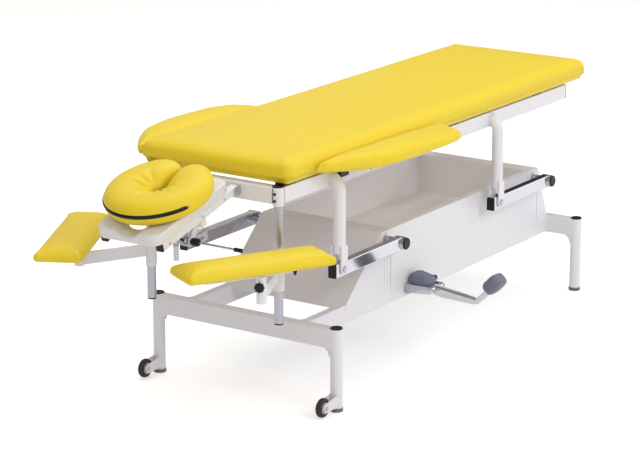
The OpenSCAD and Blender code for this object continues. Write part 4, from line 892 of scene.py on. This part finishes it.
# %% Turned shapes
def turned_rings(profile, place_at, axis, count=48, waves=None):
    """Each profile pair (radius, height) becomes a circle square to the axis; waves is a function
    of the angle and the share of the way along the profile that multiplies the radius."""
    axis = np.asarray(axis, float) / np.linalg.norm(axis)
    side = np.cross(axis, (0, 0, 1) if abs(axis[2]) < 0.9 else (1, 0, 0))
    side /= np.linalg.norm(side)
    other = np.cross(axis, side)
    t = np.linspace(0, 2 * PI, count, endpoint=False)
    profile = np.asarray(profile, float)
    r = profile[:, :1] * np.ones_like(t)
    if waves:
        r = r * waves(t[None, :], np.linspace(0, 1, len(profile))[:, None])
    around = np.cos(t)[None, :, None] * side + np.sin(t)[None, :, None] * other
    return np.asarray(place_at) + r[..., None] * around + profile[:, 1][:, None, None] * axis


def rounded(profile, radius, steps=5):
    """Replaces each inner corner of a profile by a quarter turn of the given radius."""
    profile = np.asarray(profile, float)
    out = [profile[0]]
    for before, corner, after in zip(profile, profile[1:], profile[2:]):
        into, away = before - corner, after - corner
        reach = min(radius, np.linalg.norm(into) / 2, np.linalg.norm(away) / 2)
        p = corner + into / np.linalg.norm(into) * reach
        q = corner + away / np.linalg.norm(away) * reach
        for w in np.linspace(0, 1, steps):
            out.append((1 - w) ** 2 * p + 2 * w * (1 - w) * corner + w ** 2 * q)
    out.append(profile[-1])
    return np.array(out)


def turned(name, profile, place_at, axis, body, slot, radius=0.0015, count=48, waves=None, replaced=()):
    """A finished turned piece; radius rounds its profile's corners."""
    rings = turned_rings(rounded(profile, radius), place_at, axis, count, waves)
    return finish_piece(smooth_mesh(name, rings), body, slot, replaced=replaced)


def rod(radius, length, bore=0.0002):
    """The profile of a plain rod, or of a sleeve with a bore."""
    return [(bore, 0), (radius, 0), (radius, length), (bore, length)]


# %% Head clamp: rod, ribbed knob and grip
low, high = (np.array(c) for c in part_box("head_clamp_rod"))
clamp_x, clamp_z = (low[0] + high[0]) / 2, (low[2] + high[2]) / 2
ROD_RADIUS, BORE, KNOB_BACK, GRIP_LONG, ROD_IN_GRIP = 0.004, 0.0041, -0.0050, 0.026, 0.012
rod_start = low[1] + GRIP_LONG - ROD_IN_GRIP
ribs = lambda t, s: 1 + 0.035 * np.cos(14 * t) * np.sin(PI * s)
knob_profile = [(BORE, 0), (0.0085, 0), (0.0125, 0.006), (0.0125, 0.023), (0.010, 0.029), (BORE, 0.029)]
grip_profile = [(0.0005, 0), (0.007, 0), (0.0062, 0.013), (0.007, GRIP_LONG), (BORE, GRIP_LONG)]
for name, profile, y, slot, radius, count, waves, replaced in (
        ("clamp_rod", rod(ROD_RADIUS, high[1] - rod_start), rod_start, "chrome", 0.0006, 48, None, ()),
        ("clamp_knob", knob_profile, KNOB_BACK, "black_plastic", 0.0025, 84, ribs, ["head_clamp_rod"]),
        ("clamp_grip", grip_profile, low[1], "black_plastic", 0.002, 48, None, ()),
        ("clamp_nut", rod(0.0085, 0.007, BORE), high[1] - 0.007, "zinc", 0.0005, 6, None, ())):
    turned(name, profile, (clamp_x, y, clamp_z), (0, 1, 0), "head_clamp", slot, radius, count, waves, replaced)
print("clamp rod from", round(float(low[1]), 4), "to", round(float(high[1]), 4))

# %% Star knobs of the armrests
LOBES = 8
STAR_POST, SOCKET_REACH, STAR_FACE, SCREW_FROM = (0.928, 0.238), 0.235, 0.021, 0.0102
STAR_PROFILE = [
    (0.0042, 0), (0.010, 0.0002), (0.0158, 0.003), (0.0158, 0.010), (0.011, 0.0135), (0.0002, 0.0145)]


def star_wave(t, s):
    """Radius share of a lobed knob: deepest valleys in the middle of its height."""
    return 1 - 0.13 * (0.5 - 0.5 * np.cos(LOBES * t)) ** 0.8 * np.clip(1.6 * np.sin(PI * s), 0, 1)


for label, angle in (("near", math.radians(22.6)), ("far", math.radians(29.8))):
    side = SIDES[label]
    low, high = (np.array(p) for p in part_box(label + "_star_knob"))
    out = np.array((-math.cos(angle), side * math.sin(angle), 0))
    post = np.array((-STAR_POST[0], side * STAR_POST[1]))
    socket = np.array([*(post + SOCKET_REACH * out[:2]), (low[2] + high[2]) / 2])
    turned(label + "_star_grip", STAR_PROFILE, socket + out * STAR_FACE, out, label + "_knob",
           "black_plastic", 0.0022, 96, star_wave, [label + "_star_knob"])
    turned(label + "_star_screw", rod(0.004, STAR_FACE + 0.002 - SCREW_FROM, 0.0003),
           socket + out * SCREW_FROM, out, label + "_knob", "zinc", 0.0005, 24)

# %% [markdown]
# ## Foot pedal
# The pump lever is a bar carried along a bent path; it hangs deeper between the cheeks and the
# knee. Two soft moulded pads sit on it. Each is a superellipsoid: rounder than a box, fuller than
# an egg, with shallow ribs across the face that the shoe meets.

# %% Pump lever
PEDAL = dict(x=-0.165, pin=(-0.322, 0.236), knee=(-0.480, 0.2185), tip=(-0.534, 0.2715))


def bar_rings(path, wide, high, power=4.5, count=36):
    """A bar carried along a path in the plane square to X. Each ring is a superellipse, its width
    along X and its height square to the path."""
    along = unit_rows(np.gradient(path, axis=0))
    lift = np.stack([along[:, 1], -along[:, 0]], axis=-1)
    t = np.linspace(0, 2 * PI, count, endpoint=False)
    x = PEDAL["x"] + wide[:, None] / 2 * signed_power(np.cos(t), 2 / power)
    rise = high[:, None] / 2 * signed_power(np.sin(t), 2 / power)
    yz = path[:, None, :] + rise[..., None] * lift[:, None, :]
    return np.concatenate([x[..., None], yz], axis=-1)


LEVER_ROOT = (-0.2405, 0.2430)
lever_path = cut_corners(np.array([
    LEVER_ROOT, (-0.330, 0.2335), (-0.420, 0.2240), (-0.462, 0.2195), PEDAL["knee"],
    (-0.4925, 0.2310), (-0.510, 0.2480), PEDAL["tip"]]), 3, closed=False)
share = np.clip((LEVER_ROOT[0] - lever_path[:, 0]) / (LEVER_ROOT[0] - PEDAL["knee"][0]), 0, 1)
hang = 0.011 * np.clip((share - 0.30) / 0.15, 0, 1) * (1 - share) ** 0.8
lever_path[:, 1] -= hang / 2
lever_wide, lever_high = 0.034 - 0.014 * share ** 0.7, 0.030 - 0.010 * share ** 1.6 + hang
lever = smooth_mesh("pump_lever_bar", bar_rings(lever_path, lever_wide, lever_high))
finish_piece(lever, "pedal", "chrome", replaced=["pedal_lever"])
turned("pump_lever_hub", rod(0.011, 0.066, 0.0052), (PEDAL["x"] - 0.033, *PEDAL["pin"]), (1, 0, 0),
       "pedal", "chrome", 0.001, 40)
print("lever path:", len(lever_path), "points")

# %% Rubber shoes on the lever
def shoe_rings(size, power, wedge, count=72, stack=36, ribs_deep=0.0007):
    """Superellipsoid: |x/a|^p + |y/b|^p + |z/c|^p = 1, with cosine ribs along x on its upper face;
    its height changes in proportion to y by the wedge share."""
    a, b, c_half = (v / 2 for v in size)
    u = np.linspace(-PI / 2, PI / 2, stack)[1:-1][:, None]
    v = np.linspace(0, 2 * PI, count, endpoint=False)[None, :]
    bend = lambda w: signed_power(w, 2 / power)
    x = a * bend(np.cos(u)) * bend(np.cos(v))
    y = b * bend(np.cos(u)) * bend(np.sin(v))
    z = c_half * bend(np.sin(u)) * np.ones_like(v)
    z = z + ribs_deep * np.cos(y / b * PI * 4.5) * np.clip(z / c_half, 0, 1) ** 3
    return np.stack([x, y, z * (1 + wedge * y / b)], axis=-1)


def lay_shoe(name, size, power, wedge, middle, lean):
    """Builds a shoe, leans it about X and puts it on the lever."""
    x, y, z = np.moveaxis(shoe_rings(size, power, wedge), -1, 0)
    c_lean, s_lean = math.cos(lean), math.sin(lean)
    rings = np.stack([x, y * c_lean - z * s_lean, y * s_lean + z * c_lean], axis=-1)
    return place(smooth_mesh(name, rings), shift=middle)


for name, size, power, wedge, y, z, lean, replaced in (
        ("inner_foot_shoe", (0.064, 0.076, 0.050), 4.0, 0.16, -0.2745, 0.2535, 6, ["pedal_pads"]),
        ("outer_foot_shoe", (0.066, 0.070, 0.048), 3.4, 0.0, -0.5405, 0.2870, -46, ())):
    shoe = lay_shoe(name, size, power, wedge, (PEDAL["x"], y, z), math.radians(lean))
    finish_piece(shoe, "pedal", "pedal_plastic", replaced=replaced)
print("shoes:", len(shoe.data.vertices), "points each")

# %% Cheeks that carry the lever
def cheek_rings(x0, thick, outline, soft=0.0008):
    """An upright plate square to X: its outline, drawn in by soft at both faces, carried from x0."""
    rings = []
    for x, d in ((0, soft), (soft, 0), (thick - soft, 0), (thick, soft)):
        p = inset_outline(outline, d)
        rings.append(np.c_[np.full(len(p), x0 + x), p])
    return np.array(rings)


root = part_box("pedal_bracket")[1][1]
pin_y, pin_z = PEDAL["pin"]
NOSE, CHEEK_THICK, CHEEK_OUTSIDE = 0.012, 0.005, 0.0405
nose = [(pin_y - NOSE * math.cos(v), pin_z + NOSE * math.sin(v)) for v in np.linspace(-PI / 2, PI / 2, 15)]
cheek = np.array([(root, 0.2160), *nose, (root - 0.030, 0.2470), (root, 0.2480)])
for i, x0 in enumerate((PEDAL["x"] - CHEEK_OUTSIDE, PEDAL["x"] + CHEEK_OUTSIDE - CHEEK_THICK)):
    plate = smooth_mesh(f"lever_cheek_{i}", cheek_rings(x0, CHEEK_THICK, cheek)[::-1])
    finish_piece(plate, "base", "chrome", replaced=["pedal_bracket"] if i == 0 else ())
turned("lever_pin", rod(0.005, 0.082), (PEDAL["x"] - 0.041, pin_y, pin_z), (1, 0, 0),
       "base", "zinc", 0.0006, 32)
head_profile = [(0.0002, 0), (0.0085, 0), (0.0085, 0.0042), (0.0002, 0.005)]
for i, way in enumerate((-1, 1)):
    turned(f"lever_pin_head_{i}", head_profile, (PEDAL["x"] + way * CHEEK_OUTSIDE, pin_y, pin_z), (way, 0, 0),
           "base", "zinc", 0.0006, 6)
stop_profile = [(0.0002, 0), (0.010, 0), (0.008, 0.022), (0.0002, 0.024)]
turned("lever_stop", stop_profile, (-0.118, root - 0.046, 0.2525), (0.25, -1, 0.15),
       "base", "black_paint", 0.002, 28)

# %% [markdown]
# ## Zip on the face pillow
# The cover opens with a black zip that runs round the head end, just below the pillow's widest
# line. Its tape is a narrow grid laid on the finished cushion: every point is moved to the nearest
# place on the cover and lifted by the tape's thickness, so it follows each dent.

# %% Zip tape with its raised teeth
from mathutils.bvhtree import BVHTree

graph = bpy.context.evaluated_depsgraph_get()
cover = bpy.data.meshes.new_from_object(pillow.evaluated_get(graph))
cover_tree = BVHTree.FromPolygons([v.co[:] for v in cover.vertices], [p.vertices[:] for p in cover.polygons])


def head_place(points):
    """Turns flat head-section coordinates into their tilted place."""
    x, y, z = points[..., 0], points[..., 1], points[..., 2]
    tilted_x = HEAD_HINGE[0] + HEAD_COS * x + HEAD_SIN * z
    return np.stack([tilted_x, y, HEAD_HINGE[2] - HEAD_SIN * x + HEAD_COS * z], axis=-1)


def pillow_point(a, b):
    """A point of the plain pillow formula at path angle a and section angle b."""
    out = PILLOW["tube"] * np.cos(b)
    z = PILLOW_LOW + PILLOW["tall"] / 2 * (1 + np.sin(b))
    x = PILLOW["centre"] - PATH_X * np.cos(a) - out * np.cos(a)
    return head_place(np.stack(np.broadcast_arrays(x, PATH_Y * np.sin(a) + out * np.sin(a), z), axis=-1))


def lay_on_cover(points, lifts):
    """Nearest place on the cover for each point, lifted along the cover's normal there."""
    flat = points.reshape(-1, 3)
    hits = [cover_tree.find_nearest(Vector(p)) for p in flat.tolist()]
    spot = np.array([h[0][:] for h in hits])
    normal = np.array([h[1][:] for h in hits])
    return (spot + normal * np.broadcast_to(lifts, points.shape[:-1]).reshape(-1, 1)).reshape(points.shape)


ZIP_RUN, ZIP_DROP, HALF_TAPE = np.radians((-70.0, 66.0)), np.radians(6.0), np.radians(8.5)
ZIP_SECTION = np.array([  # share of the tape's half width, height over the cover
    (-1.0, 0.0008), (-0.85, 0.0014), (-0.3, 0.0014), (-0.12, 0.0026), (0.12, 0.0026),
    (0.3, 0.0014), (0.85, 0.0014), (1.0, 0.0008), (1.0, -0.002), (-1.0, -0.002)])
across, lifts = ZIP_SECTION.T[:, None, :]
along = np.linspace(*ZIP_RUN, 150)[:, None]
taper = np.clip((1 - np.abs(np.linspace(-1, 1, 150))) * 20, 0.15, 1)[:, None]
band = pillow_point(along, ZIP_DROP + HALF_TAPE * across * taper)
zip_tape = smooth_mesh("pillow_zip", lay_on_cover(band, lifts))
finish_piece(zip_tape, "head_section", "black_plastic")
pull, ahead = lay_on_cover(pillow_point(ZIP_RUN[0] + np.array([0.03, 0.12]), ZIP_DROP), 0.0035)
turned("zip_pull", [(0.0002, 0), (0.0030, 0.0005), (0.0036, 0.006), (0.0022, 0.013), (0.0002, 0.014)],
       pull, ahead - pull, "head_section", "black_plastic", 0.001, 24)
print("zip laid on", len(cover.vertices), "cover points")

# %% [markdown]
# ## Welds and fasteners
# The frame is welded and then powder coated, so each joint shows a soft rippled bead under the
# paint. Pivot bolts get washers, the head rails and the tray get their small screws, and black
# studs stand under the armrest pads.

# %% Weld beads
BEAD, RIPPLE = 0.0022, 0.0042
TUBE_REACH = 0.0192  # a hair over the radius of the 38 mm tubes
LEG_X, LEG_Y, RAIL_FACE_X, RAIL_Y, BEAM_Z = 0.7665, 0.3375, 0.7466, (0.1985, 0.2278), (0.2015, 0.2608)
FRAME_LEG_X, FRAME_LEG_Y, FRAME_LEG_Z = (-0.666, 0.294), 0.2558, 0.705


def bead_rings(path, radius, closed=True, count=8):
    """A thin tube along a path; its radius ripples with a sine of the path's length."""
    path = np.asarray(path, float)
    ahead = np.roll(path, -1, axis=0) if closed else np.vstack([path[1:], 2 * path[-1] - path[-2]])
    behind = np.roll(path, 1, axis=0) if closed else np.vstack([2 * path[0] - path[1], path[:-1]])
    tangent = unit_rows(ahead - behind)
    side = unit_rows(np.cross(tangent, (0.31, 0.53, 0.79)))
    other = np.cross(tangent, side)
    walked = np.cumsum(np.linalg.norm(ahead - path, axis=1))
    r = radius * (1 + 0.16 * np.sin(walked * 2 * PI / RIPPLE))
    t = np.linspace(0, 2 * PI, count, endpoint=False)
    circle = np.cos(t)[None, :, None] * side[:, None] + np.sin(t)[None, :, None] * other[:, None]
    return path[:, None] + r[:, None, None] * circle


def loop_points(corners, gap=0.0016):
    """Evenly spaced points along a closed polygon."""
    corners = np.asarray(corners, float)
    after = np.roll(corners, -1, axis=0)
    pieces = []
    for p, q in zip(corners, after):
        n = max(int(np.linalg.norm(q - p) / gap), 2)
        pieces.append(p + (q - p) * np.linspace(0, 1, n, endpoint=False)[:, None])
    return np.vstack(pieces)


def join_pieces(name, objects):
    """Joins meshes into one, by stacking their points and faces."""
    verts, faces, base = [], [], 0
    for o in objects:
        p = read_points(o.data)
        verts.append(p)
        faces += [[v + base for v in f.vertices] for f in o.data.polygons]
        base += len(p)
        bpy.data.objects.remove(o)
    return new_object(name, np.vstack(verts), faces)


arc = np.linspace(-0.85, 0.85, 24)
turn_all = np.linspace(0, 2 * PI, 75, endpoint=False)
base_beads, top_beads = [], []
for sx in (-1, 1):
    for sy in (-1, 1):
        for z in BEAM_Z:
            x, y = sx * LEG_X + TUBE_REACH * np.sin(arc), sy * (LEG_Y - TUBE_REACH * np.cos(arc))
            ring = flat_ring(np.c_[x, y], z)
            base_beads.append(smooth_mesh("bead", bead_rings(ring, BEAD, closed=False)))
        (y0, y1), (z0, z1) = RAIL_Y, BEAM_Z
        corners = [(sx * RAIL_FACE_X, sy * y, z) for y, z in ((y0, z0), (y1, z0), (y1, z1), (y0, z1))]
        base_beads.append(smooth_mesh("bead", bead_rings(loop_points(corners), BEAD), loop=True))
for x in FRAME_LEG_X:
    for sy in (-1, 1):
        ring = np.c_[x + TUBE_REACH * np.cos(turn_all), np.full(75, sy * FRAME_LEG_Y),
                     FRAME_LEG_Z + TUBE_REACH * np.sin(turn_all)]
        top_beads.append(smooth_mesh("bead", bead_rings(ring, BEAD), loop=True))
base_welds = finish_piece(join_pieces("base_welds", base_beads), "base", "white_paint")
top_welds = finish_piece(join_pieces("top_frame_welds", top_beads), "upper_frame", "white_paint")
print("welds:", len(base_welds.data.vertices) + len(top_welds.data.vertices), "points")

# %% Washers and screws
def washer(name, place_at, axis, inner, outer, thick, body):
    """A flat ring: its profile goes up the bore, over the face, down the rim and back."""
    edge = 0.0004
    profile = [(inner, 0), (inner, thick), (outer - edge, thick), (outer, thick - edge), (outer, 0)]
    rings = turned_rings(profile, place_at, axis, 40)
    return finish_piece(smooth_mesh(name, rings[::-1], loop=True), body, "zinc")


def screw_head(name, place_at, axis, radius, body, slot):
    """A domed screw head with a small round recess, drawn as one turned profile."""
    floor_at = 0.55 * radius - 0.001
    dish = [(radius, 0), (0.9 * radius, 0.2 * radius), (0.6 * radius, 0.42 * radius),
            (0.34 * radius, 0.5 * radius), (0.3 * radius, floor_at), (0.0002, floor_at)]
    rings = turned_rings(dish, place_at, axis, 24)
    return finish_piece(smooth_mesh(name, rings), body, slot)


LOW_STUD = [(0.0052, 0), (0.0048, 0.0030), (0.0002, 0.0042)]
TALL_STUD = [(0.0066, 0), (0.0058, 0.0060), (0.0030, 0.0150), (0.0002, 0.0156)]
for label, turn in REST_TURN.items():
    corners = np.array(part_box(label + "_armrest_pad"))
    ahead = np.array([math.cos(turn), math.sin(turn), 0])
    across = np.array([-math.sin(turn), math.cos(turn), 0]) * SIDES[label]
    middle = np.array([*(corners.mean(axis=0)[:2]), corners[0][2] + 0.0004])
    for i, (u, v, profile) in enumerate((
            (-0.135, 0.054, LOW_STUD), (0.104, 0.058, TALL_STUD), (0.152, 0.047, LOW_STUD))):
        rings = turned_rings(profile, middle + ahead * u + across * v, (0, 0, -1), 24)
        finish_piece(smooth_mesh(f"{label}_rest_stud_{i}", rings), label + "_armrest", "black_plastic")

LUG_Y, LUG_Z, LUG_HALF = 0.2815, 0.418, 0.0193
HEAD_SCREWS = (  # name, places along the head section, face in Y, height, head radius, slot
    ("head_rail_screw", (0.06, 0.17, 0.335), 0.1125, 0.003, 0.0052, "zinc"),
    ("tray_screw", (0.05, 0.19), 0.1149, 0.030, 0.0032, "grey_paint"))
for i, x in enumerate(FRAME_LEG_X):
    for label, sy in SIDES.items():
        for k, way in enumerate((-1, 1)):
            washer(f"{label}_lug_washer_{i}{k}", (x, sy * LUG_Y + way * LUG_HALF, LUG_Z), (0, way, 0),
                   0.0061, 0.0125, 0.0012, "upper_frame")
for label, sy in SIDES.items():
    for name, places, face_y, height, radius, slot in HEAD_SCREWS:
        for i, u in enumerate(places):
            spot = head_place(np.array((-u, sy * face_y, height)))
            screw_head(f"{label}_{name}_{i}", spot, (0, sy, 0), radius, "head_section", slot)
small = [o.name for o in scene.objects if any(word in o.name for word in ("_washer_", "_screw_", "_stud_"))]
print("small fasteners:", len(small))
